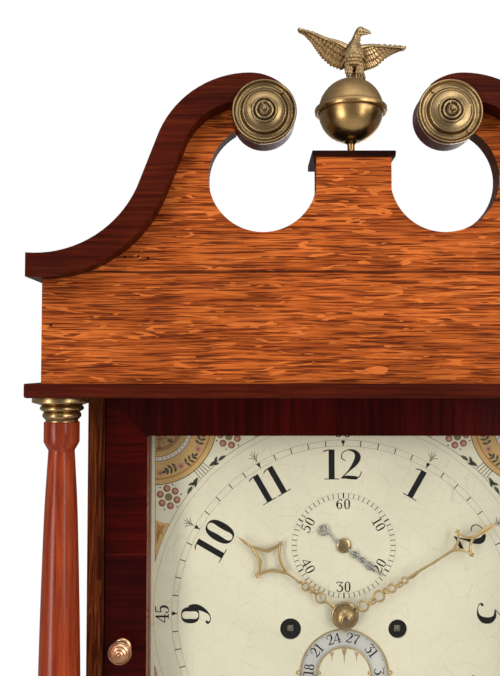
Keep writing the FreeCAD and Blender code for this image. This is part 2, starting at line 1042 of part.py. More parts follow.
def trunk_lock():
    back = trunk_front + size.door_body
    wall_thick = size.lock_wall
    left = -size.lock_x - size.lock_width / 2
    right = -size.lock_x + size.lock_width / 2
    low = size.lock_z - size.lock_height / 2
    high = size.lock_z + size.lock_height / 2
    box = block("lock_box", (left, right), (back, back + size.lock_depth), (low, high))
    hollow = block(
        "lock_hollow",
        (left + wall_thick, right - wall_thick),
        (back + wall_thick, back + size.lock_depth - wall_thick),
        (low + wall_thick, high - wall_thick),
    )
    gap = size.bolt_gap
    bolt_low = size.lock_z + size.key_bit_length + gap * 2
    bolt_back = back + size.lock_depth - wall_thick - gap
    bolt_front = bolt_back - size.bolt_thick
    mouth = block(
        "lock_mouth",
        (left - size.overrun, left + wall_thick + gap),
        (bolt_front - gap, bolt_back + gap),
        (bolt_low - gap, bolt_low + size.bolt_height + gap),
    )
    hole = rod(
        "lock_key_hole",
        "y",
        (-size.lock_x, size.lock_z),
        size.key_hole_radius,
        (back - size.overrun, back + wall_thick + gap),
    )
    case = cut("lock_case", box, hollow, mouth, hole)
    front = trunk_front - size.door_lip
    plate = slab(
        "escutcheon",
        "front",
        (-size.lock_x, front, size.lock_z),
        [
            (0, -size.escutcheon_height / 2, size.escutcheon_width),
            (size.escutcheon_width / 2, 0, size.escutcheon_width),
            (0, size.escutcheon_height / 2, size.escutcheon_width),
            (-size.escutcheon_width / 2, 0, size.escutcheon_width),
        ],
        size.escutcheon_thick,
        [(0, 0, size.key_hole_radius)],
    )
    node("trunk_lock", case, plate)
    bolt = block(
        "bolt",
        (left, left + size.bolt_length),
        (bolt_front, bolt_back),
        (bolt_low, bolt_low + size.bolt_height),
    )
    node("trunk_lock_bolt", bolt)
    bow_y = front - size.key_shank_out
    shank = rod(
        "key_shank",
        "y",
        (-size.lock_x, size.lock_z),
        size.key_shank_radius,
        (bow_y, bolt_back),
    )
    bit = block(
        "key_bit",
        (-size.lock_x - size.key_shank_radius / 2, size.key_shank_radius / 2 - size.lock_x),
        (bolt_front, bolt_back),
        (size.lock_z - size.key_bit_length, size.lock_z),
    )
    loop = slab(
        "key_bow",
        "side",
        (-size.lock_x - size.key_bow_thick / 2, bow_y - size.key_bow_radius, size.lock_z),
        [],
        size.key_bow_thick,
        [(0, 0, size.key_bow_radius + size.key_bow_wire), (0, 0, size.key_bow_radius - size.key_bow_wire)],
    )
    node("trunk_key", fuse("key", shank, bit, loop))


# Hood


def hood_box():
    side = block(
        "hood_side", (hood_inner, hood_half), (-size.hood_front, wall), (size.hood_base_top, size.hood_top)
    )
    node("hood_side_boards", *both_sides(side))
    reach = size.hood_base_reach
    height = size.hood_base_height
    edge = moulding(
        "hood_base_edge",
        hood_inner,
        size.hood_front,
        wall,
        hood_base_bottom,
        [
            (0, 0),
            (reach + size.thin_board, 0),
            (reach + size.thin_board, height * 0.3),
            (reach + size.thin_board * 0.7, height * 0.4, -height * 0.7),
            (reach + size.thin_board * 0.2, height * 0.86),
            (reach + size.thin_board * 0.2, height),
            (0, height),
        ],
    )
    hole = rod(
        "lower_pivot_hole",
        "z",
        (size.pivot_x, size.pivot_back - size.door_front),
        size.pivot_radius + size.pivot_gap,
        (size.hood_base_top - size.pivot_length, size.hood_base_top + size.overrun),
    )
    rail = block(
        "hood_base_rail",
        (-hood_inner, hood_inner),
        (-size.hood_front, mask_front),
        (hood_base_bottom, size.hood_base_top),
    )
    node("hood_base_frame", cut("hood_base_cut", fuse("hood_base_whole", edge, rail), hole))
    front = size.frieze_board - size.entablature_front
    soffit = block(
        "soffit",
        (size.frieze_board - frieze_half, frieze_half - size.frieze_board),
        (front, wall),
        (size.hood_top, size.hood_top + size.thin_board),
    )
    upper_hole = rod(
        "upper_pivot_hole",
        "z",
        (size.pivot_x, size.pivot_back - size.door_front),
        size.pivot_radius + size.pivot_gap,
        (size.hood_top - size.overrun, size.hood_top + size.pivot_length),
    )
    dust = block(
        "dust_board",
        (size.frieze_board - frieze_half, frieze_half - size.frieze_board),
        (front, wall - size.frieze_board),
        (size.dust_board_z, size.dust_board_z + size.dust_board),
    )
    node("hood_top_boards", cut("soffit_cut", soffit, upper_hole), dust)


def columns():
    top = size.hood_top - size.capital_height
    low = size.hood_base_top + size.column_base_height
    height = top - low
    neck = height + size.capital_height - size.column_neck_drop
    collar = height + size.capital_height - size.collar_drop
    upper = height + size.capital_height - size.column_upper_drop
    middle = height + size.capital_height - size.column_middle_drop
    shaft = turned(
        "column_shaft",
        "up",
        (size.column_x, -size.column_y, low),
        [
            (0, 0),
            (size.column_foot_radius, 0),
            (size.column_foot_radius, size.column_foot_rise, size.shaft_bend),
            (size.column_middle_radius, middle, size.shaft_bend),
            (size.column_upper_radius, upper),
            (size.column_top_radius, neck),
            (size.collar_radius, collar),
            (size.collar_radius, height),
            (0, height),
        ],
    )
    node("hood_columns", *both_sides(shaft))
    rise = size.capital_height
    disc = rise - size.capital_disc
    wide = size.capital_radius
    narrow = size.capital_foot_radius
    capital = turned(
        "capital",
        "up",
        (size.column_x, -size.column_y, top),
        [
            (0, 0),
            (narrow, 0),
            (narrow, rise * 0.2),
            ((wide + narrow * 2) / 3, rise * 0.24),
            ((wide + narrow * 2) / 3, rise * 0.45),
            ((wide * 2 + narrow) / 3, rise * 0.5),
            ((wide * 2 + narrow) / 3, disc),
            (wide, disc),
            (wide, rise),
            (0, rise),
        ],
    )
    rise = size.column_base_height
    wide = size.column_base_radius
    narrow = size.column_foot_radius + size.joinery_gap
    base = turned(
        "column_base",
        "up",
        (size.column_x, -size.column_y, size.hood_base_top),
        [
            (0, 0),
            (wide, 0),
            (wide, rise * 0.35),
            ((wide + narrow) / 2, rise * 0.42),
            ((wide + narrow) / 2, rise * 0.7),
            (narrow, rise * 0.78),
            (narrow, rise),
            (0, rise),
        ],
    )
    node("column_mounts", *both_sides(capital, base))


def tympanum():
    """Frieze and pediment board: two round-bottomed openings beside a plinth block."""
    bend = size.neck_lower_bend + size.neck_width / 2
    half = frieze_half
    end_z = size.neck_low + size.neck_width / 2
    rise_x = (size.neck_rise_x + size.neck_inner_rise_x) / 2
    rise_z = (size.neck_rise_z + size.neck_inner_rise_z) / 2
    turn_x = (size.neck_turn_x + size.neck_inner_turn_x) / 2
    turn_z = (size.neck_turn_z + size.neck_inner_turn_z) / 2
    upper_bend = (size.neck_upper_bend + size.neck_inner_bend) / 2
    tip_x = size.scroll_x + size.scroll_radius * 0.6
    tip_z = size.scroll_z + size.scroll_radius * 0.66
    hole = size.cutout_radius
    mouth_x = size.cutout_x + hole / 2
    mouth_z = size.cutout_z + hole * math.sqrt(0.75)
    block_x = size.block_half_width
    drop = math.sqrt(hole.number ** 2 - (size.cutout_x - block_x).number ** 2) / hole.number
    meet_z = size.cutout_z - hole * drop
    right = [
        (half, 0),
        (half, end_z, -bend),
        (rise_x, rise_z),
        (turn_x, turn_z, upper_bend),
        (tip_x, tip_z),
        (mouth_x, mouth_z, -hole),
        (size.cutout_x + hole, size.cutout_z, -hole),
        (size.cutout_x, size.cutout_z - hole, -hole),
        (block_x, meet_z),
        (block_x, size.block_top),
    ]
    board = slab(
        "tympanum",
        "front",
        (0, size.frieze_board - size.entablature_front, size.hood_top),
        mirror_outline(right),
        size.frieze_board,
    )
    node("tympanum_board", board)


def mirror_outline(right):
    """A whole outline from its right half, read upwards from the bottom."""
    left = []
    for step in range(len(right) - 1, -1, -1):
        x, z = right[step][:2]
        before = right[step - 1] if step else ()
        if len(before) > 2:
            left.append((-x, z, before[2]))
        else:
            left.append((-x, z))
    return [*right, *left]


def frieze_boards():
    front = size.frieze_board - size.entablature_front
    side = block(
        "frieze_side",
        (frieze_half - size.frieze_board, frieze_half),
        (front, wall),
        (size.hood_top, size.side_frieze_top),
    )
    back = block(
        "frieze_back",
        (size.frieze_board - frieze_half, frieze_half - size.frieze_board),
        (wall - size.frieze_board, wall),
        (size.hood_top + size.thin_board, size.side_frieze_top),
    )
    node("frieze_boards", *both_sides(side), back)
    reach = size.cornice_reach
    height = size.cornice_height
    cornice = moulding(
        "cornice",
        frieze_half,
        size.entablature_front,
        wall,
        size.hood_top,
        [
            (0, 0),
            (reach * 0.45, 0),
            (reach * 0.55, height * 0.3, -height),
            (reach * 0.85, height * 0.7),
            (reach, height * 0.75),
            (reach, height),
            (0, height),
        ],
    )
    node("cornice_moulding", cornice)


def swan_necks():
    right = [
        (size.neck_end_x, size.neck_low),
        (size.neck_end_x, size.neck_low + size.neck_width, -size.neck_lower_bend),
        (size.neck_rise_x, size.neck_rise_z),
        (size.neck_turn_x, size.neck_turn_z, size.neck_upper_bend),
        (size.neck_top_x, size.neck_top_z, size.neck_tip_bend),
        (size.neck_tip_x, size.neck_tip_z),
        (size.scroll_x, size.scroll_z),
        (size.neck_inner_top_x, size.neck_inner_top_z, -size.neck_inner_bend),
        (size.neck_inner_turn_x, size.neck_inner_turn_z),
        (size.neck_inner_rise_x, size.neck_inner_rise_z, size.neck_lower_bend + size.neck_width),
    ]
    band = slab(
        "neck_band",
        "front",
        (0, -size.entablature_front, size.hood_top),
        right,
        size.neck_thick,
    )
    barrel = rod(
        "scroll_barrel",
        "y",
        (size.scroll_x, size.hood_top + size.scroll_z),
        size.scroll_radius,
        (-size.entablature_front - size.neck_thick, -size.entablature_front),
    )
    side = block(
        "neck_return",
        (frieze_half, size.neck_end_x),
        (-size.entablature_front, wall),
        (size.hood_top + size.neck_low, size.hood_top + size.neck_low + size.neck_width),
    )
    node("swan_necks", *both_sides(fuse("swan_neck", band, barrel), side))


def rosettes():
    wide = size.rosette_radius
    out = size.rosette_out
    disc = turned(
        "rosette",
        "front",
        (size.scroll_x, -size.entablature_front - size.neck_thick, size.hood_top + size.scroll_z),
        [
            (0, 0),
            (wide, 0),
            (wide, out * 0.35, wide * 0.09),
            (wide * 0.84, out * 0.35),
            (wide * 0.68, out * 0.3),
            (wide * 0.64, out * 0.75),
            (wide * 0.52, out * 0.8),
            (wide * 0.48, out),
            (wide * 0.44, out * 0.8),
            (wide * 0.36, out * 0.8),
            (wide * 0.32, out),
            (wide * 0.28, out * 0.8),
            (wide * 0.2, out * 0.85),
            (wide * 0.2, out + size.rosette_boss * 0.4, bow(wide * 0.2, size.rosette_boss * 0.6)),
            (0, out + size.rosette_boss),
        ],
    )
    node("rosettes", *both_sides(disc))


def finial():
    low = size.hood_top + size.block_top
    reach = size.block_half_width + size.cap_reach
    front = -size.entablature_front - size.cap_reach
    cap = slab(
        "cap",
        "side",
        (-reach, 0, low),
        [
            (front + size.cap_reach * 0.6, 0),
            (front + size.cap_depth, 0),
            (front + size.cap_depth, size.cap_height),
            (front + size.cap_reach * 0.4, size.cap_height),
            (front, size.cap_height * 0.6),
        ],
        reach * 2,
    )
    node("block_cap", cap)
    foot = low + size.cap_height
    ball = size.ball_radius
    middle = size.ball_rise
    ring = size.ball_ring_half
    edge = ball * math.sqrt(0.9925)
    turned_ball = turned(
        "finial_ball",
        "up",
        (0, -size.finial_y, foot),
        [
            (0, 0),
            (size.finial_foot_radius, 0),
            (size.finial_foot_radius, ring * 0.6),
            (size.finial_neck_radius, ring * 3, -ball),
            (size.finial_neck_radius, middle - ball * 0.99, ball),
            (edge, middle - ring),
            (size.ball_ring_radius, middle - ring * 0.6),
            (size.ball_ring_radius, middle + ring * 0.6),
            (edge, middle + ring, ball),
            (size.finial_neck_radius, middle + ball * 0.99),
            (0, middle + ball * 0.99),
        ],
    )
    top = middle + ball * 0.99
    tall = size.eagle_height
    wing = size.wing_span / 2
    spread = slab(
        "eagle_wings",
        "front",
        (0, size.wing_thick / 2 - size.finial_y, foot + top),
        [
            (-tall * 0.1, 0),
            (tall * 0.1, 0),
            (tall * 0.2, tall * 0.25),
            (wing * 0.75, tall * 0.35),
            (wing, tall * 0.68),
            (wing * 0.5, tall * 0.72),
            (tall * 0.2, tall * 0.66),
            (tall * 0.34, tall * 0.86),
            (tall * 0.1, tall * 0.98),
            (-tall * 0.1, tall * 0.85),
            (-tall * 0.2, tall * 0.68),
            (-wing, tall),
            (-wing * 0.75, tall * 0.5),
            (-tall * 0.2, tall * 0.25),
        ],
        size.wing_thick,
    )
    body = turned(
        "eagle_body",
        "up",
        (0, -size.finial_y, foot + top),
        [
            (0, 0),
            (size.eagle_body_radius * 0.5, 0),
            (size.eagle_body_radius * 0.45, tall * 0.2),
            (size.eagle_body_radius, tall * 0.4),
            (size.eagle_body_radius * 0.9, tall * 0.62),
            (size.eagle_body_radius * 0.5, tall * 0.75),
            (0, tall * 0.8),
        ],
    )
    node("finial", turned_ball, fuse("eagle", spread, body))


def dial_mask():
    half = hood_inner
    hole = size.mask_opening / 2
    middle = size.dial_z - size.mask_drop
    board = block("mask_board", (-half, half), (mask_front, mask_back), (size.hood_base_top, size.hood_top))
    opening = block(
        "mask_hole",
        (-hole, hole),
        (mask_front - size.overrun, mask_back + size.overrun),
        (middle - hole, middle + hole),
    )
    node("dial_mask", cut("mask_cut", board, opening))


# Hood door


def hood_door():
    stile = size.door_stile
    front = -size.door_front
    back = front + size.board
    low = size.door_bottom
    high = size.door_top
    width = size.door_width
    height = high - low
    left_stile = slab(
        "door_stile",
        "front",
        (-door_half, back, low),
        [(0, 0), (stile, size.door_rail), (stile, height - size.door_rail), (0, height)],
        size.board,
    )
    rail = slab(
        "door_lower_rail",
        "front",
        (-door_half, back, low),
        [(0, 0), (width, 0), (width - stile, size.door_rail), (stile, size.door_rail)],
        size.board,
    )
    upper = slab(
        "door_upper_rail",
        "front",
        (-door_half, back, high),
        [(0, 0), (stile, -size.door_rail), (width - stile, -size.door_rail), (width, 0)],
        size.board,
    )
    rebate = size.door_rebate
    glass_front = front + size.board - rebate - size.glass
    seat = block(
        "glass_rebate",
        (stile - door_half - rebate, door_half - stile + rebate),
        (glass_front, back + size.overrun),
        (low + size.door_rail - rebate, high - size.door_rail + rebate),
    )
    lower_strap = block(
        "lower_strap_bed",
        (door_half - size.pivot_strap_reach, door_half + size.overrun),
        (front - size.overrun, front + size.pivot_strap_width),
        (low - size.overrun, low + size.pivot_strap),
    )
    upper_strap = block(
        "upper_strap_bed",
        (door_half - size.pivot_strap_reach, door_half + size.overrun),
        (front - size.overrun, front + size.pivot_strap_width),
        (high - size.pivot_strap, high + size.overrun),
    )
    right_stile = mirrored(left_stile)
    node(
        "hood_door_frame",
        cut("left_stile_cut", left_stile, seat),
        cut("right_stile_cut", right_stile, seat, lower_strap, upper_strap),
        cut("lower_rail_cut", rail, seat, lower_strap),
        cut("upper_rail_cut", upper, seat, upper_strap),
    )
    pane = block(
        "pane",
        (stile - door_half - rebate, door_half - stile + rebate),
        (glass_front, glass_front + size.glass),
        (low + size.door_rail - rebate, high - size.door_rail + rebate),
    )
    node("hood_door_glass", pane)
    knob = turned(
        "knob",
        "front",
        (-size.knob_x, front, size.knob_z),
        [
            (0, 0),
            (size.knob_radius * 0.8, 0),
            (size.knob_radius * 0.8, size.knob_out * 0.12),
            (size.knob_radius * 0.38, size.knob_out * 0.25),
            (size.knob_radius * 0.38, size.knob_out * 0.45),
            (size.knob_radius, size.knob_out * 0.6),
            (size.knob_radius, size.knob_out * 0.75, bow(size.knob_radius, size.knob_out * 0.25)),
            (0, size.knob_out),
        ],
    )
    node("hood_door_knob", knob)
    pivot_y = front + size.pivot_back
    straps = []
    for end, edge, inward, tip in (
        ("lower", low, low + size.pivot_strap, low - size.pivot_length),
        ("upper", high - size.pivot_strap, high, high + size.pivot_length),
    ):
        strap = block(
            f"{end}_strap",
            (door_half - size.pivot_strap_reach, door_half),
            (front, front + size.pivot_strap_width),
            (edge, inward),
        )
        span = (tip, low + size.pivot_strap) if end == "lower" else (high - size.pivot_strap, tip)
        pin = rod(f"{end}_pivot", "z", (size.pivot_x, pivot_y), size.pivot_radius, span)
        straps.append(fuse(f"{end}_pivot_strap", strap, pin))
    node("hood_door_pivots", *straps)


# Dial


def dial_plate():
    """The dial plate, with its holes and the curved window of the date ring."""
    half = size.dial_width.number / 2
    corners = [Vector(x * half, dial_back.number, z * half) for x, z in ((-1, -1), (1, -1), (1, 1), (-1, 1))]
    outline = Part.makePolygon([*corners, corners[0]])
    sweep = math.pi * 2 * size.date_half_angle_share.number
    window = ring_part(
        (0, -size.date_z.number),
        size.date_inner.number,
        size.date_outer.number,
        sweep,
        dial_back.number,
    )
    holes = [
        (0, 0, size.hour_pipe_radius + size.slide_gap),
        (0, size.seconds_z, size.seconds_hole_radius),
        (size.winding_x, -size.winding_drop, size.strike_hole_radius),
        (-size.winding_x, -size.winding_drop, size.winding_hole_radius),
    ]
    rings = [ring(as_size(x).number, as_size(z).number, radius.number, dial_back.number) for x, z, radius in holes]
    plate = own("dial", sheet_of(outline, [*rings, window], -size.dial_thick.number))
    put(plate, 0, 0, size.dial_z)
    node("dial_plate", plate)
    disc = slab(
        "date_disc",
        "front",
        (0, dial_back + size.date_disc_gap + size.date_disc, size.dial_z - size.date_z),
        [],
        size.date_disc,
        [(0, 0, size.date_disc_radius), (0, 0, size.date_bore + size.pivot_gap)],
    )
    node("date_disc", disc)


# Flat work in planes that face the front: points are (radius, angle) about an arbor


def polar(radius, angle, place):
    return Vector(math.cos(angle) * radius, place, math.sin(angle) * radius)


def ring(x, z, radius, place):
    return Part.Wire(Part.makeCircle(radius, Vector(x, place, z), Vector(0, 1, 0)))


def sheet_of(outline, holes, thick):
    """A plate from its outline; below zero, its thickness goes to the front."""
    face = Part.makeFace([outline, *holes], "Part::FaceMakerBullseye")
    return face.extrude(Vector(0, thick, 0))


def ring_part(centre, inner, outer, half, place):
    """A closed wire round part of a ring, the same on both sides of upright."""
    away = Vector(centre[0], 0, centre[1])
    up = math.pi / 2
    points = {
        (radius, angle): away + polar(radius, angle, place)
        for radius in (inner, outer)
        for angle in (up - half, up, up + half)
    }
    edges = [
        Part.Arc(*[points[outer, angle] for angle in (up - half, up, up + half)]).toShape(),
        Part.LineSegment(points[outer, up + half], points[inner, up + half]).toShape(),
        Part.Arc(*[points[inner, angle] for angle in (up + half, up, up - half)]).toShape(),
        Part.LineSegment(points[inner, up - half], points[outer, up - half]).toShape(),
    ]
    return Part.Wire(edges)


# Arbors

GREAT_TEETH = 96
CENTRE_LEAVES = 8
CENTRE_TEETH = 60
THIRD_LEAVES = 8
THIRD_TEETH = 56
ESCAPE_LEAVES = 7
ESCAPE_TEETH = 30
STRIKE_TEETH = 78
PIN_LEAVES = 8
PIN_TEETH = 56
WARNING_LEAVES = 8
WARNING_TEETH = 50
FLY_LEAVES = 7
CANNON_TEETH = 36
MINUTE_LEAVES = 6
HOUR_TEETH = 72

winding_reach = root(size.winding_x * size.winding_x + size.winding_drop * size.winding_drop)
great_module = winding_reach * 2 / (GREAT_TEETH + CENTRE_LEAVES)
motion_reach = size.cannon_module * CANNON_TEETH
hour_module = motion_reach * 2 / (HOUR_TEETH + MINUTE_LEAVES)


def apart(wheel, leaves, module):
    """The distance between two arbors whose wheels mesh."""
    return module * (wheel + leaves) / 2


def away(place, reach, turn):
    """The place at a distance and a direction from another."""
    return (place[0] + along(reach, turn), place[1] + upward(reach, turn))


def arbor_places():
    low = apart(CENTRE_TEETH, THIRD_LEAVES, size.centre_module)
    high = apart(THIRD_TEETH, ESCAPE_LEAVES, size.third_module)
    rise = size.seconds_z
    third_z = (low * low - high * high + rise * rise) / (rise * 2)
    third = (root(low * low - third_z * third_z), third_z)
    strike = (-size.winding_x, -size.winding_drop)
    pin = away(strike, apart(STRIKE_TEETH, PIN_LEAVES, great_module), size.pin_turn)
    warning = away(pin, apart(PIN_TEETH, WARNING_LEAVES, size.pin_module), size.warning_turn)
    fly = away(warning, apart(WARNING_TEETH, FLY_LEAVES, size.warning_module), size.fly_turn)
    return {
        "centre": (as_size(0), as_size(0)),
        "third": third,
        "escape": (as_size(0), rise),
        "pin": pin,
        "warning": warning,
        "fly": fly,
        "going_great": (size.winding_x, -size.winding_drop),
        "strike_great": strike,
        "hammer": (size.hammer_x, size.hammer_z),
        "pallet": (as_size(0), size.pallet_z),
    }


places = arbor_places()
minute_stud = away(places["centre"], motion_reach, size.stud_turn)

# The movement's frame


def movement_frame():
    x = (-size.plate_half_width, size.plate_half_width)
    z = (seat_top, size.dial_z + size.plate_above)
    front = block("front_plate_blank", x, (plate_front, plate_inner), z)
    rear = block("back_plate_blank", x, (back_plate, back_plate_rear), z)
    gap = size.pivot_gap
    over = size.overrun
    holes_front = []
    holes_rear = []
    wide = {
        "centre": size.centre_arbor_radius,
        "going_great": size.winding_arbor_radius,
        "strike_great": size.winding_arbor_radius,
    }
    for name, place in places.items():
        centre = (place[0], size.dial_z + place[1])
        radius = wide.get(name, size.pivot_pin) + gap
        holes_front.append(rod(f"front_hole_{name}", "y", centre, radius, (plate_front - over, plate_inner + over)))
        radius = (size.crutch_arbor_radius if name == "pallet" else size.pivot_pin) + gap
        holes_rear.append(rod(f"rear_hole_{name}", "y", centre, radius, (back_plate - over, back_plate_rear + over)))
    front_plate = cut("front_plate", front, fuse("front_holes", *holes_front))
    rear_plate = cut("back_plate", rear, fuse("rear_holes", *holes_rear))
    node("movement_plates", front_plate, rear_plate)
    pillars = [
        rod(f"pillar_{end}", "y", (x_place, size.dial_z + height), size.pillar_radius, (plate_inner, back_plate))
        for end, x_place, height in (
            ("low", size.pillar_low_x, -size.pillar_low),
            ("high", size.pillar_high_x, size.pillar_high),
        )
    ]
    feet = [
        rod(
            f"dial_foot_{end}",
            "y",
            (size.dial_foot_x, size.dial_z + height),
            size.dial_foot_radius,
            (dial_back, plate_front),
        )
        for end, height in (("low", -size.dial_foot_low), ("high", size.dial_foot_high))
    ]
    stud = rod(
        "minute_stud",
        "y",
        (minute_stud[0], size.dial_z + minute_stud[1]),
        size.minute_stud_radius,
        (plate_front - size.hour_wheel_place - size.wheel_thick - size.slide_gap, plate_front),
    )
    date_stud = rod(
        "date_stud",
        "y",
        (0, size.dial_z - size.date_z),
        size.date_bore,
        (dial_back + size.date_disc_gap / 2, plate_front),
    )
    node("movement_pillars", *both_sides(*pillars, *feet), stud, date_stud, cock_and_bell_stand())


def cock_and_bell_stand():
    """The pendulum's cock on the back plate, with the bell's post and arm above it."""
    low = size.dial_z + size.pallet_z + size.suspension_rise + size.cock_gap
    top = low + size.cock_height
    cock = block(
        "pendulum_cock",
        (-size.cock_width / 2, size.cock_width / 2),
        (back_plate_rear, back_plate_rear + size.cock_depth),
        (low, top),
    )
    arm_low = size.dial_z + size.bell_low + size.bell_height
    arm_top = arm_low + size.bell_arm_height
    radius = size.bell_post_radius
    post_y = size.bell_y + size.bell_radius + size.bell_post_gap + radius
    post = rod("bell_post", "z", (size.bell_x, post_y), radius, (top, arm_top))
    arm = block(
        "bell_arm",
        (size.bell_x - radius, size.bell_x + radius),
        (size.bell_y - radius, post_y),
        (arm_low, arm_top),
    )
    return fuse("cock_and_stand", cock, post, arm)


# Toothed wheels

TOOTH_SHARES = {"width": 0.5, "tip": 0.95, "root": 1.15}
LEAF_SHARES = {"width": 0.42, "tip": 0.75, "root": 1.1}


def toothed(teeth, module, shares, phase, place):
    """A wheel's outline, three corners to a tooth."""
    pitch = 2 * math.pi / teeth
    middle = teeth * module / 2
    root_radius = middle - shares["root"] * module
    corners = (
        (-shares["width"] / 2, root_radius),
        (0, middle + shares["tip"] * module),
        (shares["width"] / 2, root_radius),
    )
    points = [
        polar(radius, phase + (step + offset) * pitch, place)
        for step in range(teeth)
        for offset, radius in corners
    ]
    return Part.makePolygon([*points, points[0]])


ARMS = 4


def crossings(outer, inner, place):
    """The windows between a wheel's four arms."""
    spoke = size.spoke.number
    half = math.pi / ARMS
    windows = []
    for step in range(ARMS):
        middle = (step * 2 + 1) * half
        rim = half - math.asin(spoke / 2 / outer)
        hub = half - math.asin(spoke / 2 / inner)
        edges = [
            Part.Arc(*[polar(outer, middle + swing, place) for swing in (-rim, 0, rim)]).toShape(),
            Part.LineSegment(polar(outer, middle + rim, place), polar(inner, middle + hub, place)).toShape(),
            Part.Arc(*[polar(inner, middle + swing, place) for swing in (hub, 0, -hub)]).toShape(),
            Part.LineSegment(polar(inner, middle - hub, place), polar(outer, middle - rim, place)).toShape(),
        ]
        windows.append(Part.Wire(edges))
    return windows


def round_bar(radius, start, end):
    return Part.makeCylinder(radius, end - start, Vector(0, start, 0), Vector(0, 1, 0))


def heading(start, end):
    """The direction from one arbor to another, where a wheel points a tooth."""
    return math.atan2(end[1].number - start[1].number, end[0].number - start[0].number)


def gap_towards(start, end, teeth):
    """A wheel or pinion turned to point a gap at its neighbour."""
    return heading(start, end) + math.pi / teeth


def crossed_wheel(teeth, module, phase, place, bore=0):
    """A wheel with four arms; a bore of zero leaves its centre solid."""
    rim = teeth * module / 2 - TOOTH_SHARES["root"] * module - size.rim.number
    holes = crossings(rim, size.hub_radius.number, place)
    if bore:
        holes.append(ring(0, 0, bore, place))
    return sheet_of(toothed(teeth, module, TOOTH_SHARES, phase, place), holes, size.wheel_thick.number)


def pinion(leaves, module, phase, place, thick):
    return sheet_of(toothed(leaves, module, LEAF_SHARES, phase, place), [], thick)


def arbor(front_end, rear_end):
    """An arbor between the plates, its ends turned down to pivots."""
    front = plate_inner.number + size.shoulder_gap.number
    rear = back_plate.number - size.shoulder_gap.number
    pin = size.pivot_pin.number
    body = round_bar(size.arbor_radius.number, front, rear)
    return body.fuse([round_bar(pin, front_end, front), round_bar(pin, rear, rear_end)])


def stand(name, shape, place):
    """Put a made wheel on its arbor and keep it."""
    return node(name, put(own(name, shape), place[0], 0, size.dial_z + place[1]))


def between_plates():
    return arbor(plate_front.number, back_plate_rear.number)


def pinion_start(wheel_place):
    """Where a pinion starts, to be centred on the wheel that drives it."""
    return wheel_place - (size.pinion_thick.number - size.wheel_thick.number) / 2


def going_train():
    inner = plate_inner.number
    thick = size.pinion_thick.number
    great = great_module.number
    centre = size.centre_module.number
    third = size.third_module.number
    bore = size.winding_arbor_radius.number + size.pivot_gap.number

    place = inner + size.great_place.number
    phase = heading(places["going_great"], places["centre"])
    stand("going_great_wheel", crossed_wheel(GREAT_TEETH, great, phase, place, bore), places["going_great"])

    nose = round_bar(size.centre_arbor_radius.number, nose_tip().number, inner)
    phase = gap_towards(places["centre"], places["going_great"], CENTRE_LEAVES)
    leaves = pinion(CENTRE_LEAVES, great, phase, pinion_start(place), thick)
    place = inner + size.centre_place.number
    wheel = crossed_wheel(CENTRE_TEETH, centre, heading(places["centre"], places["third"]), place)
    stand("centre_wheel", between_plates().fuse([nose, leaves, wheel]), places["centre"])

    phase = gap_towards(places["third"], places["centre"], THIRD_LEAVES)
    leaves = pinion(THIRD_LEAVES, centre, phase, pinion_start(place), thick)
    place = inner + size.third_place.number
    wheel = crossed_wheel(THIRD_TEETH, third, heading(places["third"], places["escape"]), place)
    stand("third_wheel", between_plates().fuse([leaves, wheel]), places["third"])

    phase = gap_towards(places["escape"], places["third"], ESCAPE_LEAVES)
    leaves = pinion(ESCAPE_LEAVES, third, phase, pinion_start(place), thick)
    place = inner + size.escape_place.number
    rim = size.escape_radius.number - size.escape_depth.number - size.spoke.number
    wheel = sheet_of(
        escape_outline(place), crossings(rim, size.hub_radius.number, place), size.wheel_thick.number
    )
    whole = arbor(-size.second_hand_front.number, back_plate_rear.number).fuse([leaves, wheel])
    stand("escape_wheel", whole, places["escape"])


LEAN_SHARE = 0.3


def escape_outline(place):
    """Thirty raked teeth, two corners each."""
    outer = size.escape_radius.number
    root_radius = outer - size.escape_depth.number
    pitch = 2 * math.pi / ESCAPE_TEETH
    points = []
    for step in range(ESCAPE_TEETH):
        points.append(polar(outer, step * pitch, place))
        points.append(polar(root_radius, (step + LEAN_SHARE) * pitch, place))
    return Part.makePolygon([*points, points[0]])


def strike_train():
    inner = plate_inner.number
    thick = size.pinion_thick.number
    great = great_module.number
    pins = size.pin_module.number
    warning = size.warning_module.number
    bore = size.winding_arbor_radius.number + size.pivot_gap.number

    place = inner + size.great_place.number
    phase = heading(places["strike_great"], places["pin"])
    stand("strike_great_wheel", crossed_wheel(STRIKE_TEETH, great, phase, place, bore), places["strike_great"])

    phase = gap_towards(places["pin"], places["strike_great"], PIN_LEAVES)
    leaves = pinion(PIN_LEAVES, great, phase, pinion_start(place), thick)
    place = inner + size.pin_place.number
    wheel = crossed_wheel(PIN_TEETH, pins, heading(places["pin"], places["warning"]), place)
    stand("pin_wheel", between_plates().fuse([leaves, wheel]), places["pin"])

    phase = gap_towards(places["warning"], places["pin"], WARNING_LEAVES)
    leaves = pinion(WARNING_LEAVES, pins, phase, place + size.wheel_thick.number - thick, thick)
    place = inner + size.warning_place.number
    wheel = crossed_wheel(WARNING_TEETH, warning, heading(places["warning"], places["fly"]), place)
    stand("warning_wheel", between_plates().fuse([leaves, wheel]), places["warning"])

    phase = gap_towards(places["fly"], places["warning"], FLY_LEAVES)
    leaves = pinion(FLY_LEAVES, warning, phase, pinion_start(place), thick)
    reach = size.fly_radius.number
    thin = size.fly_thick.number
    corner = Vector(-reach, inner + size.fly_place.number, -thin / 2)
    vane = Part.makeBox(reach * 2, size.fly_length.number, thin, corner)
    stand("fly", between_plates().fuse([leaves, vane]), places["fly"])


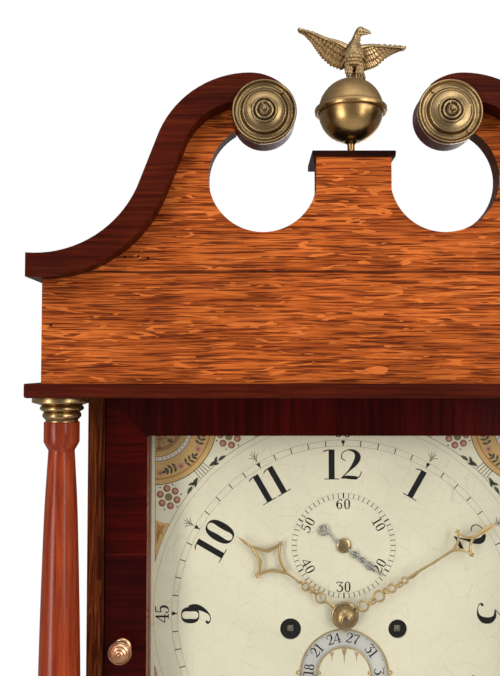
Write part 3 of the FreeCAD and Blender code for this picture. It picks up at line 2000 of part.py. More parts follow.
def barrels():
    """Drums for the lines, each on an arbor with a square for the winding key."""
    start = plate_inner.number + size.barrel_place.number
    end = start + size.barrel_length.number
    flange = size.barrel_flange.number
    wide = size.barrel_radius.number + size.barrel_flange_reach.number
    square = size.winding_square.number
    square_front = dial_back.number + size.winding_square_back.number
    shoulder = back_plate.number - size.shoulder_gap.number
    for name, place in (("going_barrel", places["going_great"]), ("strike_barrel", places["strike_great"])):
        parts = [
            round_bar(wide, start, start + flange),
            round_bar(wide, end - flange, end),
            round_bar(size.winding_arbor_radius.number, plate_front.number, start),
            round_bar(size.arbor_radius.number, end, shoulder),
            round_bar(size.pivot_pin.number, shoulder, back_plate_rear.number),
            Part.makeBox(
                square, plate_front.number - square_front, square, Vector(-square / 2, square_front, -square / 2)
            ),
        ]
        stand(name, round_bar(size.barrel_radius.number, start, end).fuse(parts), place)


def nose_tip():
    """The front end of the centre arbor, inside the nut."""
    return -size.minute_hand_front - size.nut_height / 2


def motion_work():
    """Wheels under the dial, that turn the hour hand once for twelve turns of the minute hand."""
    centre = places["centre"]
    front = plate_front.number
    thick = size.wheel_thick.number
    gap = size.pivot_gap.number
    cannon = size.cannon_module.number
    hour = hour_module.number
    cannon_place = front - size.cannon_wheel_place.number
    hour_place = front - size.hour_wheel_place.number
    minute_front = -size.minute_hand_front.number
    hour_front = -size.hour_hand_front.number

    bore = size.minute_stud_radius.number + gap
    phase = gap_towards(minute_stud, centre, CANNON_TEETH)
    outline = toothed(CANNON_TEETH, cannon, TOOTH_SHARES, phase, cannon_place)
    wheel = sheet_of(outline, [ring(0, 0, bore, cannon_place)], thick)
    start = hour_place - size.slide_gap.number
    phase = gap_towards(minute_stud, centre, MINUTE_LEAVES)
    outline = toothed(MINUTE_LEAVES, hour, LEAF_SHARES, phase, start)
    leaves = sheet_of(outline, [ring(0, 0, bore, start)], cannon_place - start)
    stand("minute_wheel", wheel.fuse(leaves), minute_stud)

    inner = size.cannon_pipe_radius.number + gap
    rim = HOUR_TEETH * hour / 2 - TOOTH_SHARES["root"] * hour - size.rim.number
    outline = toothed(HOUR_TEETH, hour, TOOTH_SHARES, heading(centre, minute_stud), hour_place)
    wheel = sheet_of(outline, crossings(rim, size.hour_hub_radius.number, hour_place), thick)
    pipe = round_bar(size.hour_pipe_radius.number, hour_front, hour_place + thick + size.slide_gap.number)
    hand = hand_shape(
        HOUR_ANGLE, size.hour_length, hour_front, HOUR_SHARES, window=HOUR_WINDOW_SHARES, rings=HOUR_RING_SHARES
    )
    whole = wheel.fuse([pipe, hand]).cut(round_bar(inner, minute_front, front))
    stand("hour_hand", whole, centre)

    inner = size.centre_arbor_radius.number + gap
    outline = toothed(CANNON_TEETH, cannon, TOOTH_SHARES, heading(centre, minute_stud), cannon_place)
    wheel = sheet_of(outline, [], thick)
    pipe = round_bar(size.cannon_pipe_radius.number, minute_front, cannon_place + thick + size.slide_gap.number)
    hand = hand_shape(
        MINUTE_ANGLE,
        size.minute_length,
        minute_front,
        MINUTE_SHARES,
        window=MINUTE_WINDOW_SHARES,
        rings=MINUTE_RING_SHARES,
    )
    hole = round_bar(inner, nose_tip().number - gap, front)
    stand("minute_hand", wheel.fuse([pipe, hand, domed_nut(minute_front)]).cut(hole), centre)


def domed_nut(back):
    """A low dome: the cap of a ball whose flat side has the nut's radius."""
    rise = size.nut_height.number
    wide = size.nut_radius.number
    ball = (wide * wide + rise * rise) / (2 * rise)
    sphere = Part.makeSphere(ball, Vector(0, back + ball - rise, 0))
    cap = Part.makeBox(wide * 4, rise * 2, wide * 4, Vector(-wide * 2, back - rise * 2, -wide * 2))
    return sphere.common(cap)


# Hands, turned clockwise from upright, in degrees: ten past ten, and 21 seconds
HOUR_ANGLE = -54
MINUTE_ANGLE = 58.6
SECOND_ANGLE = 127.5
# One side of each hand and of the window in its head, as shares of its length: (along, across)
HOUR_SHARES = [(0, 0.0063), (0.54, 0.0063), (0.64, 0.05), (0.712, 0.153), (0.757, 0.05), (0.874, 0.01), (1, 0)]
HOUR_WINDOW_SHARES = [(0.572, 0), (0.65, 0.038), (0.708, 0.112), (0.747, 0.038), (0.842, 0)]
MINUTE_SHARES = [
    (0, 0.0046), (0.706, 0.0046), (0.75, 0.028), (0.78, 0.076), (0.803, 0.028), (0.845, 0.0046),
    (0.92, 0.017), (1, 0),
]
MINUTE_WINDOW_SHARES = [(0.724, 0), (0.756, 0.02), (0.777, 0.052), (0.798, 0.02), (0.826, 0)]
SECOND_SHARES = [(-0.62, 0.06), (0, 0.03), (0.5, 0.025), (1, 0)]
# The rings along each hand's stem, as shares of its length: (along, radius)
HOUR_RING_SHARES = [(0.225, 0.045), (0.367, 0.035)]
MINUTE_RING_SHARES = [(0.118, 0.033), (0.22, 0.033), (0.304, 0.026), (0.387, 0.021)]
RING_BORE_SHARE = 0.78


def hand_wire(shares, length, way, front):
    """A closed outline from one side of it; where that side touches the middle it has one corner."""
    ends = [*shares, *[(one, -two) for one, two in reversed(shares) if two]]
    points = [
        polar(one * length, way, front) + polar(two * length, way - math.pi / 2, 0)
        for one, two in ends
    ]
    return Part.makePolygon([*points, points[0]])


def hand_shape(angle, length, front, shares, boss=None, window=(), rings=()):
    """A hand cut from sheet: a blade with a pierced head, rings on its stem and a round boss."""
    radius = (boss or size.hand_boss_radius).number
    thick = size.hand_thick.number
    reach = length.number
    way = math.radians(90 - angle)
    openings = [hand_wire(window, reach, way, front)] if window else []
    blade = sheet_of(hand_wire(shares, reach, way, front), openings, thick)
    discs = [round_bar(radius, front, front + thick)]
    bores = []
    for along_share, ring_share in rings:
        centre = polar(along_share * reach, way, front)
        disc = Part.makeCylinder(ring_share * reach, thick, centre, Vector(0, 1, 0))
        bore = Part.makeCylinder(ring_share * reach * RING_BORE_SHARE, thick, centre, Vector(0, 1, 0))
        discs.append(disc)
        bores.append(bore)
    blade = blade.fuse(discs)
    return blade.cut(bores) if bores else blade


def seconds_hand():
    front = -size.second_hand_front.number
    blade = hand_shape(SECOND_ANGLE, size.second_length, front, SECOND_SHARES, size.second_boss_radius)
    hole = round_bar(size.pivot_pin.number, front, front + size.hand_thick.number)
    stand("seconds_hand", blade.cut(hole), places["escape"])


# Lines, pulleys and weights


def weights():
    pulley_z = size.weight_low + size.weight_height + size.weight_neck
    for name, centre in (
        ("going", size.winding_x - line_x + size.pulley_radius),
        ("strike", -size.winding_x - line_x + size.pulley_radius),
    ):
        crown = size.weight_height
        shell = turned(
            f"{name}_weight_shell",
            "up",
            (centre, size.line_y, size.weight_low),
            [
                (0, 0),
                (size.weight_radius * 0.94, 0),
                (size.weight_radius, size.weight_crown * 0.3),
                (size.weight_radius, crown - size.weight_crown, size.weight_radius),
                (size.weight_radius * 0.3, crown),
                (0, crown),
            ],
        )
        inner = size.pulley_thick / 2 + size.stirrup_gap
        outer = inner + size.stirrup_thick
        half = size.stirrup_width / 2
        low = size.weight_low + crown - size.weight_crown / 2
        cheeks = []
        for label, near, far in (("front", -outer, -inner), ("back", inner, outer)):
            cheeks.append(
                block(
                    f"{name}_stirrup_{label}",
                    (centre - half, centre + half),
                    (size.line_y + near, size.line_y + far),
                    (low + size.weight_crown, pulley_z + half),
                )
            )
        bridge = block(
            f"{name}_stirrup_bridge",
            (centre - half, centre + half),
            (size.line_y - outer, size.line_y + outer),
            (low, low + size.weight_crown),
        )
        pin = rod(
            f"{name}_pulley_pin",
            "y",
            (centre, pulley_z),
            size.pulley_pin_radius,
            (size.line_y - outer - size.stirrup_gap, size.line_y + outer + size.stirrup_gap),
        )
        node(f"{name}_weight", fuse(f"{name}_weight_whole", shell, *cheeks, bridge, pin))
        rim = size.pulley_radius + size.line_radius + size.pulley_rim
        groove = size.pulley_radius - size.line_radius - size.pivot_gap
        half_thick = size.pulley_thick / 2
        bore = size.pulley_pin_radius + size.pivot_gap
        wheel = turned(
            f"{name}_pulley_wheel",
            "back",
            (centre, size.line_y - half_thick, pulley_z),
            [
                (bore, 0),
                (rim, 0),
                (rim, size.pulley_rim / 2),
                (groove, half_thick - size.line_radius),
                (groove, half_thick + size.line_radius),
                (rim, size.pulley_thick - size.pulley_rim / 2),
                (rim, size.pulley_thick),
                (bore, size.pulley_thick),
            ],
        )
        node(f"{name}_pulley", wheel)
        line(name, centre, pulley_z)


def line(name, centre, pulley_z):
    """A gut line below the seatboard: down, round the pulley and up to its anchor."""
    radius = size.line_radius
    reach = size.pulley_radius
    span = (pulley_z, seat_bottom)
    down = rod(f"{name}_line_down", "z", (centre - reach, size.line_y), radius, span)
    up = rod(f"{name}_line_up", "z", (centre + reach, size.line_y), radius, span)
    turn = doc.addObject("Part::Torus", f"{name}_line_turn")
    bind(turn, Radius1=reach, Radius2=radius)
    turn.Angle3 = 180
    put(turn, centre, size.line_y, pulley_z, FACING_BACK)
    node(f"{name}_line", fuse(f"{name}_line_whole", down, turn, up))


def line_leads():
    """The lines' fixed ends, from the seatboard's slots to the barrels."""
    leads = [
        rod(f"{name}_lead", "z", (place[0] - line_x, size.line_y), size.line_radius, (seat_bottom, winding_z))
        for name, place in (("going", places["going_great"]), ("strike", places["strike_great"]))
    ]
    node("line_leads", *leads)


# Pendulum, pallets and crutch


def pendulum():
    pivot = size.dial_z + size.pallet_z
    y = size.pendulum_y
    bob_z = pivot - size.pendulum_length
    spring = block(
        "suspension_spring",
        (-size.suspension_width / 2, size.suspension_width / 2),
        (y - size.suspension_thick / 2, y + size.suspension_thick / 2),
        (pivot - size.suspension_drop, pivot + size.suspension_rise),
    )
    low = bob_z - size.bob_radius - size.nut_drop - size.rating_nut_height * 2
    shank = rod("pendulum_shank", "z", (0, y), size.rod_radius, (low, pivot - size.suspension_drop + size.rod_radius))
    nut = rod(
        "rating_nut",
        "z",
        (0, y),
        size.rating_nut_radius,
        (low + size.rating_nut_height / 2, low + size.rating_nut_height * 1.5),
    )
    node("pendulum_rod", fuse("pendulum_rod_whole", spring, shank, nut))
    half = size.bob_thick / 2
    edge = size.bob_edge / 2
    radius = size.bob_radius
    bend = bow(radius, half - edge)
    lens = turned(
        "bob_lens",
        "back",
        (0, y, bob_z),
        [
            (0, -half, bend),
            (radius, -edge),
            (radius, edge, bend),
            (0, half),
        ],
    )
    bore = rod(
        "bob_bore", "z", (0, y), size.rod_radius, (bob_z - radius - size.overrun, bob_z + radius + size.overrun)
    )
    node("pendulum_bob", cut("bob_cut", lens, bore))


def pallets():
    """The anchor above the escape wheel, with the crutch and its fork behind the back plate."""
    inner = plate_inner.number
    thick = size.pallet_thick.number
    arbor_radius = size.arbor_radius.number
    place = inner + size.escape_place.number - (thick - size.wheel_thick.number) / 2
    drop = size.pallet_z.number - size.seconds_z.number
    half = 2 * math.pi * size.pallet_half_angle_share.number
    inner_radius = size.pallet_inner_radius.number
    outline = ring_part((0, -drop), inner_radius, size.pallet_outer_radius.number, half, place)
    anchor = sheet_of(outline, [], thick)
    neck_low = inner_radius + arbor_radius / 2 - drop
    neck = Part.makeBox(arbor_radius * 3, thick, -neck_low, Vector(-arbor_radius * 1.5, place, neck_low))
    wire = size.crutch_wire_radius.number
    wire_y = back_plate_rear.number + size.crutch_place.number
    front = inner + size.shoulder_gap.number
    rear = back_plate.number - size.shoulder_gap.number
    shaft = round_bar(arbor_radius, front, rear)
    pivot = round_bar(size.pivot_pin.number, plate_front.number, front)
    tail = round_bar(size.crutch_arbor_radius.number, rear, wire_y + wire)
    length = size.crutch_length.number
    stem = Part.makeCylinder(wire, length, Vector(0, wire_y, -length), Vector(0, 0, 1))
    gap = size.rod_radius.number + size.crutch_gap.number
    fork = size.crutch_fork.number
    end = size.pendulum_y.number + size.rod_radius.number
    cross = Part.makeBox((gap + fork) * 2, wire * 2, fork, Vector(-gap - fork, wire_y - wire, -length - fork / 2))
    tines = [
        Part.makeBox(fork, end - wire_y, fork, Vector(side, wire_y, -length - fork / 2))
        for side in (-gap - fork, gap)
    ]
    whole = shaft.fuse([anchor, neck, pivot, tail, stem, cross, *tines])
    stand("pallets_and_crutch", whole, places["pallet"])


# Bell and hammer


def bell_and_hammer():
    wide = size.bell_radius
    tall = size.bell_height
    thin = size.bell_wall
    cup = turned(
        "bell_cup",
        "up",
        (size.bell_x, size.bell_y, size.dial_z + size.bell_low),
        [
            (wide - thin, 0),
            (wide, 0),
            (wide * 0.86, tall * 0.6, wide),
            (wide * 0.4, tall * 0.94),
            (0, tall),
            (0, tall - thin),
            (wide * 0.4, tall * 0.94 - thin, -wide),
            (wide * 0.86 - thin, tall * 0.6),
        ],
    )
    node("bell", cup)
    rise = (size.bell_low - size.hammer_z + size.hammer_head_radius).number
    y = size.bell_y.number
    head_end = (size.bell_x - wide - size.hammer_x - size.hammer_head_gap).number
    length = size.hammer_head_length.number
    across = Vector(1, 0, 0)
    wire = Part.makeCylinder(size.hammer_rod_radius.number, rise, Vector(0, y, 0), Vector(0, 0, 1))
    head = Part.makeCylinder(size.hammer_head_radius.number, length, Vector(head_end - length, y, rise), across)
    stand("hammer", between_plates().fuse([wire, head]), places["hammer"])


def build():
    base_boards()
    bracket_feet()
    case_mouldings()
    trunk()
    backboard()
    seatboard()
    trunk_door()
    trunk_hinges()
    trunk_lock()
    hood_box()
    columns()
    tympanum()
    frieze_boards()
    swan_necks()
    rosettes()
    finial()
    dial_mask()
    hood_door()
    dial_plate()
    movement_frame()
    going_train()
    strike_train()
    barrels()
    motion_work()
    seconds_hand()
    weights()
    line_leads()
    pendulum()
    pallets()
    bell_and_hammer()


def check_and_write():
    """Refuse a failed or open piece, then write one file for each kept piece."""
    doc.recompute()
    for thing in doc.Objects:
        bad = {"Invalid", "Error"} & set(thing.State)
        if bad:
            raise RuntimeError(f"{thing.Label}: {sorted(bad)}")
    os.makedirs("parts", exist_ok=True)
    facets = 0
    for piece in nodes:
        shape = piece.Shape
        if shape.isNull() or not shape.isValid() or not shape.Solids:
            raise RuntimeError(f"{piece.Label} has no sound shape")
        shape.exportStep(f"parts/{piece.Label}.step")
        count = len(shape.tessellate(FACET_MM)[1])
        facets += count
        print(f"{piece.Label}: {len(shape.Solids)} solids, {count} facets")
    print(f"{len(nodes)} nodes, {facets} facets")


FACET_MM = 0.5

build()
check_and_write()
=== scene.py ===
# %% [markdown]
# # A tall case clock with a scrolled hood
# The clock is built around a fixed frame: a model of every board, wheel and hinge at its real size.
# This notebook dresses that frame. It paints the dial, turns the columns, casts the brass and grows
# the grain in the wood. Nothing in the frame is moved, so each new piece is placed by the frame's own sizes.

# %% Load the frame
import math

import bmesh
import bpy
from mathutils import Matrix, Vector, noise


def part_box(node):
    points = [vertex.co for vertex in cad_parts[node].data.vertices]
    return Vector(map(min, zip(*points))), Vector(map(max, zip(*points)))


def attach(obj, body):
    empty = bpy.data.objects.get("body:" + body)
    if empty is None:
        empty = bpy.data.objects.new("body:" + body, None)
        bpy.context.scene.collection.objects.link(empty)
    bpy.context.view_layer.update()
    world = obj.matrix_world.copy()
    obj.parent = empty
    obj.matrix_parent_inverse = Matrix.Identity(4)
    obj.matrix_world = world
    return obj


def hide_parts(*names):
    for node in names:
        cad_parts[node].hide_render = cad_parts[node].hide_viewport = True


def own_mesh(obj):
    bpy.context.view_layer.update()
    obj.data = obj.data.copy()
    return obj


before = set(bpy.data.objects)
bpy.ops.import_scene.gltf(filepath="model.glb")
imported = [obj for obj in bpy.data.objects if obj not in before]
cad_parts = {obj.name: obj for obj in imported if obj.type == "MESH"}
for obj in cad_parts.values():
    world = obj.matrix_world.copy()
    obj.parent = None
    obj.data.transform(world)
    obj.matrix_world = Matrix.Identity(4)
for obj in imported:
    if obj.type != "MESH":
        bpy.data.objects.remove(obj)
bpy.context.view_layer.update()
MM = 0.001


# %% Read the places that the dressing needs
def middle(node):
    """The middle of a node's box."""
    low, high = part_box(node)
    return (low + high) / 2


def new_object(name, data):
    made = bpy.data.objects.new(name, data)
    bpy.context.scene.collection.objects.link(made)
    return made


DIAL = Vector((0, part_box("dial_plate")[0].y, middle("dial_plate").z))
print("the dial's centre:", tuple(round(value, 4) for value in DIAL))

# %% [markdown]
# ## Camera and light
# The picture was taken close to the hood with a longish lens, a little above the top of the door and
# looking slightly up. Two tall soft lights stand left and right in front: they make the two bright
# lines down the turned column. The world is pale, so the clock stands before a clean white ground.

# %% Camera
CAMERA_PLACE = Vector((-80, -659, 1989.2)) * MM
CAMERA_PITCH = math.radians(2.3)
CAMERA_LENS = 38.9
SENSOR = 36

camera_data = bpy.data.cameras.new("camera")
camera_data.lens = CAMERA_LENS
camera_data.sensor_fit = "VERTICAL"
camera_data.sensor_height = SENSOR
camera_data.clip_start = 0.01
camera = new_object("camera", camera_data)
camera.location = CAMERA_PLACE
camera.rotation_euler = (math.pi / 2 + CAMERA_PITCH, 0, 0)
bpy.context.scene.camera = camera

# %% Lights
HOOD_AIM = (0, 0, 1.85)
# Each light's place, aim, width, height and power
LIGHTS = {
    "left_light": ((-1.5, -1.7, 2.0), HOOD_AIM, 0.5, 2.2, 19),
    "right_light": ((1.3, -2.0, 2.1), HOOD_AIM, 0.5, 2.0, 16),
    "top_light": ((0, -1.1, 3.4), HOOD_AIM, 1.6, 1.2, 14),
    "floor_light": ((1.9, -1.6, 2.6), (0, -0.9, 0), 1.8, 1.8, 24),
    "low_light": ((-1.9, -2.0, 0.9), (0, 0, 0.8), 1.2, 1.4, 14),
    "back_light": ((0.6, 2.4, 2.2), (0, 0, 1.2), 1.8, 1.8, 20),
}
for name, (place, aim, width, height, power) in LIGHTS.items():
    data = bpy.data.lights.new(name, "AREA")
    data.shape = "RECTANGLE"
    data.size = width
    data.size_y = height
    data.energy = power
    light = new_object(name, data)
    light.location = place
    light.rotation_euler = (Vector(aim) - Vector(place)).to_track_quat("-Z", "Y").to_euler()
print("lights:", len(LIGHTS))

# %% [markdown]
# ## Shader tools
# A finish is a small network of nodes. Writing each network by hand is slow, so one helper adds a node,
# sets its values and joins its inputs in one call. Effects that several finishes share, such as wood
# grain or the dirt in a hollow, become node groups with named inputs.


# %% Helpers that add nodes
def srgb(red, green, blue):
    """A colour picked from 0 to 255, as the linear values that shaders use."""
    shares = [value / 255 for value in (red, green, blue)]
    return (*[c / 12.92 if c < 0.04 else ((c + 0.055) / 1.055) ** 2.4 for c in shares], 1)


def tinted(colour, share):
    """A colour from 0 to 255 made darker or brighter by a share."""
    return srgb(*[min(255, value * share) for value in colour])


def fill(tree, inputs, values):
    """Sets inputs by name or number; a value is a constant or another node's output."""
    for key, value in values.items():
        if isinstance(value, bpy.types.NodeSocket):
            tree.links.new(value, inputs[key])
        else:
            inputs[key].default_value = value


def add(tree, kind, values=None, **settings):
    """A new node with its settings and inputs; a kind without a family is a shader node."""
    made = tree.nodes.new(kind if kind.startswith(("Geometry", "Function")) else "ShaderNode" + kind)
    for name, value in settings.items():
        setattr(made, name, value)
    fill(tree, made.inputs, values or {})
    return made


def compute(tree, operation, *values):
    """One sum, product or other operation on numbers or on other nodes' outputs."""
    return add(tree, "Math", dict(enumerate(values)), operation=operation).outputs[0]


def vectors(tree, operation, values):
    return add(tree, "VectorMath", values, operation=operation).outputs[0]


def blend(tree, share, first, second, blend_type="MIX"):
    """Mixes two colours by a share."""
    mix = add(tree, "Mix", {0: share, 6: first, 7: second}, data_type="RGBA", blend_type=blend_type)
    return mix.outputs[2]


def between(tree, value, low, high, to_low=0.0, to_high=1.0):
    """Stretches a value from one range to another and stops at its ends."""
    return add(tree, "MapRange", {0: value, 1: low, 2: high, 3: to_low, 4: to_high}).outputs[0]


def streaks(tree, vector, scale, detail=6.0, roughness=0.6, distortion=0.0, seed=0.0):
    """Noise with one scale for each axis, for grain and brushed marks."""
    turned_to = add(tree, "Mapping", {0: vector, 1: (seed, seed, seed), 3: scale})
    values = {"Vector": turned_to.outputs[0], "Scale": 1.0, "Detail": detail, "Roughness": roughness}
    return add(tree, "TexNoise", {**values, "Distortion": distortion}).outputs["Fac"]


def bump(tree, height, strength, distance):
    return add(tree, "Bump", {"Strength": strength, "Distance": distance, "Height": height}).outputs[0]


def new_group(name, inputs, outputs, family="Shader"):
    """An empty node group whose inputs and outputs have a name and a kind."""
    tree = bpy.data.node_groups.new(name, family + "NodeTree")
    for way, sockets in (("INPUT", inputs), ("OUTPUT", outputs)):
        for label, kind in sockets.items():
            tree.interface.new_socket(label, in_out=way, socket_type="NodeSocket" + kind)
    return tree, tree.nodes.new("NodeGroupInput").outputs, tree.nodes.new("NodeGroupOutput").inputs


# %% The pale world, which the camera sees as plain white
world = bpy.data.worlds.new("studio")
bpy.context.scene.world = world
world.use_nodes = True
sky = world.node_tree
room = sky.nodes["Background"]
fill(sky, room.inputs, {"Color": srgb(226, 226, 226), "Strength": 0.34})
white_ground = add(sky, "Background", {"Color": (1, 1, 1, 1)}).outputs[0]
seen = add(sky, "LightPath").outputs["Is Camera Ray"]
either = add(sky, "MixShader", {0: seen, 1: room.outputs[0], 2: white_ground})
sky.links.new(either.outputs[0], sky.nodes["World Output"].inputs[0])
bpy.context.scene.view_settings.view_transform = "Standard"
print("the world is ready")

# %% [markdown]
# ## Wood grain
# Every board is the same thing seen at three sizes: wide bands of colour from the growth rings, fine
# streaks along the fibres, and dark pores. Quarter-sawn oak has pale ray flecks across it as well.
# All are noise that is long along the grain and short across it.

# %% The wood grain group
BAND_SCALE = (0.09, 1.3, 1.3)
FIBRE_SCALE = (0.26, 9.0, 9.0)
PORE_SCALE = (0.32, 11.0, 11.0)
FLECK_SCALE = (0.4, 3.0, 3.0)
FIBRE_SHARE = 0.72
GRAIN_PULL = (0.0, 0.3, 0.3)


def make_grain():
    tree, given, out = new_group(
        "wood grain",
        {"Vector": "Vector", "Dark": "Color", "Middle": "Color", "Light": "Color",
         "Coarse": "Float", "Pores": "Float", "Flecks": "Float", "Figure": "Float"},
        {"Color": "Color", "Height": "Float", "Pore": "Float"},
    )
    vector = given["Vector"]
    scaled = vectors(tree, "SCALE", {0: vector, 3: given["Coarse"]})
    wander = add(tree, "TexNoise", {"Vector": vector, "Scale": 7.0, "Detail": 3.0}).outputs["Color"]
    bent = vectors(tree, "ADD", {0: scaled, 1: vectors(tree, "MULTIPLY", {0: wander, 1: GRAIN_PULL})})
    bands = streaks(tree, bent, BAND_SCALE, 3.0, 0.5, 0.1)
    fibres = streaks(tree, bent, FIBRE_SCALE, 3.0, 0.6, 0.0, 3.1)
    mixed = add(tree, "Mix", {0: FIBRE_SHARE, 2: bands, 3: fibres}).outputs[0]
    ramp = add(tree, "ValToRGB", {0: mixed})
    for element, place, grey in zip(ramp.color_ramp.elements, (0.34, 0.66), (0, 1)):
        element.position = place
        element.color = (grey, grey, grey, 1)
    low = blend(tree, between(tree, ramp.outputs[0], 0.0, 0.5), given["Dark"], given["Middle"])
    tone = blend(tree, between(tree, ramp.outputs[0], 0.5, 1.0), low, given["Light"])
    pore = between(tree, streaks(tree, bent, PORE_SCALE, 2.0, 0.5, 0.0, 7.7), 0.53, 0.59)
    pore = compute(tree, "MULTIPLY", pore, given["Pores"])
    fleck = between(tree, streaks(tree, bent, FLECK_SCALE, 1.0, 0.4, 1.3, 12.3), 0.63, 0.65)
    fleck = compute(tree, "MULTIPLY", fleck, given["Flecks"])
    tone = blend(tree, fleck, blend(tree, pore, tone, given["Dark"]), given["Light"])
    cloud = add(tree, "TexNoise", {"Vector": vector, "Scale": 9.0, "Detail": 3.0}).outputs["Fac"]
    shade = compute(tree, "MULTIPLY", between(tree, cloud, 0.3, 0.7, -1.0, 1.0), given["Figure"])
    shade = compute(tree, "MULTIPLY_ADD", shade, 0.6, 1.0)
    grey = add(tree, "CombineColor", {0: shade, 1: shade, 2: shade}).outputs[0]
    raised = compute(tree, "SUBTRACT", compute(tree, "MULTIPLY", fibres, 0.35), pore)
    fill(tree, out, {"Color": blend(tree, 1.0, tone, grey, "MULTIPLY"), "Height": raised, "Pore": pore})
    return tree


GRAIN = make_grain()


def grained(tree, vector, colours, coarse, pores, flecks, figure):
    """The grain group with a wood's own colours, dark, middle and light."""
    dark, centre, light = (srgb(*colour) for colour in colours)
    values = {"Vector": vector, "Dark": dark, "Middle": centre, "Light": light,
              "Coarse": coarse, "Pores": pores, "Flecks": flecks, "Figure": figure}
    return add(tree, "Group", values, node_tree=GRAIN).outputs


# %% The wear, dirt and painted shade group
def make_wear():
    """Hollows darken, partly real dirt and patina and partly painted shade in creases; convex edges brighten, partly
    real rubbing and partly painted highlight.
    """
    tree, given, out = new_group("wear_and_shade", {"Vector": "Vector", "Amount": "Float", "Scale": "Float"},
                                 {"Dirt and shade": "Float", "Rubbed and highlight": "Float", "Uneven": "Float"})
    bend = add(tree, "NewGeometry").outputs["Pointiness"]
    noise_values = {"Vector": given["Vector"], "Scale": given["Scale"], "Detail": 5.0}
    uneven = add(tree, "TexNoise", noise_values).outputs["Fac"]
    patches = compute(tree, "MULTIPLY", between(tree, uneven, 0.35, 0.7), 0.35)
    # Concave spots darken: dirt and patina, and painted shade where creases fall dark.
    hollow = compute(tree, "ADD", between(tree, bend, 0.5, 0.44), patches)
    # Convex edges brighten: rubbed wear, and a painted highlight along the edges.
    edge = between(tree, bend, 0.515, 0.58)
    fill(tree, out, {"Dirt and shade": compute(tree, "MULTIPLY", hollow, given["Amount"]),
                     "Rubbed and highlight": compute(tree, "MULTIPLY", edge, given["Amount"]), "Uneven": uneven})
    return tree


WEAR_AND_SHADE = make_wear()
print("node groups:", [group.name for group in bpy.data.node_groups])


def worn(tree, place, amount, scale):
    values = {"Vector": place, "Amount": amount, "Scale": scale}
    return add(tree, "Group", values, node_tree=WEAR_AND_SHADE).outputs


# %% [markdown]
# ## The woods
# The hood's front is quarter-sawn oak, stained a warm orange brown, with its grain lying level. The
# curved mouldings are solid mahogany, and the door is veneered with it, darker and redder. The columns
# are turned from a paler red wood and polished. Each wood is the same grain group with its own colours.

# %% Start a finish
finishes = {}
LEVEL = (0, 0, 0)
UPRIGHT = (0, math.pi / 2, 0)


def new_finish(name):
    """A material with a Principled shader, and its Object coordinates."""
    finishes[name] = bpy.data.materials.new(name)
    finishes[name].use_nodes = True
    tree = finishes[name].node_tree
    return tree, tree.nodes["Principled BSDF"], add(tree, "TexCoord").outputs["Object"]


# %% Make a wood
SEAM_Z = 2.063


def wood(name, turn, colours, coarse, pores, flecks, figure, gloss, coat, relief, extra=None):
    """Wood whose grain follows X after the coordinates are turned."""
    tree, shader, place = new_finish(name)
    along = add(tree, "Mapping", {0: place, 2: turn}).outputs[0]
    grain = grained(tree, along, colours, coarse, pores, flecks, figure)
    wear_and_shade = worn(tree, place, 0.55, 30.0)
    # Creases darken towards a third of the darkest grain colour: dirt, and painted shade.
    colour = blend(tree, wear_and_shade["Dirt and shade"], grain["Color"], tinted(colours[0], 0.35))
    if extra:
        colour = extra(tree, place, colour)
    rough = compute(tree, "MULTIPLY_ADD", wear_and_shade["Uneven"], 0.16, gloss - 0.08)
    rough = compute(tree, "MULTIPLY_ADD", grain["Pore"], 0.25, rough)
    fill(tree, shader.inputs, {
        "Base Color": colour, "Roughness": rough, "Normal": bump(tree, grain["Height"], relief, 0.0004),
        "Coat Weight": coat, "Coat Roughness": 0.14, "IOR": 1.5, "Specular IOR Level": 0.04,
    })


def sawn_edge(tree, colour, solid):
    """Where a board is cut through, its edge shows dark end grain, or the plain wood under a veneer."""
    facing = add(tree, "SeparateXYZ", {0: add(tree, "TexCoord").outputs["Normal"]}).outputs[1]
    return blend(tree, between(tree, compute(tree, "ABSOLUTE", facing), 0.6, 0.4), colour, srgb(*solid))


def glued_seam(tree, place, colour):
    """The front is glued up from two boards; a thin dark line shows where they meet."""
    height = add(tree, "SeparateXYZ", {0: place}).outputs[2]
    waver = add(tree, "TexNoise", {"Vector": place, "Scale": 14.0}).outputs["Fac"]
    height = compute(tree, "MULTIPLY_ADD", waver, 0.0016, height)
    away = compute(tree, "ABSOLUTE", compute(tree, "SUBTRACT", height, SEAM_Z))
    line = between(tree, away, 0.0011, 0.0005, 0.0, 0.85)
    return sawn_edge(tree, blend(tree, line, colour, srgb(52, 20, 8)), (70, 30, 14))


# %% The boards' woods
OAK = ((80, 28, 12), (176, 84, 32), (208, 110, 48))
SIDE_OAK = ((58, 18, 6), (104, 44, 18), (150, 78, 34))
CASE_OAK = ((84, 32, 12), (146, 70, 30), (178, 98, 48))
MAHOGANY = ((46, 10, 4), (70, 20, 8), (86, 30, 13))
DARK_MAHOGANY = ((18, 5, 3), (36, 12, 7), (50, 18, 10))
VENEER = ((36, 2, 2), (56, 5, 3), (74, 9, 5))
CHERRY = ((112, 34, 15), (144, 54, 24), (162, 68, 33))
PINE = ((120, 84, 48), (168, 128, 82), (196, 160, 112))
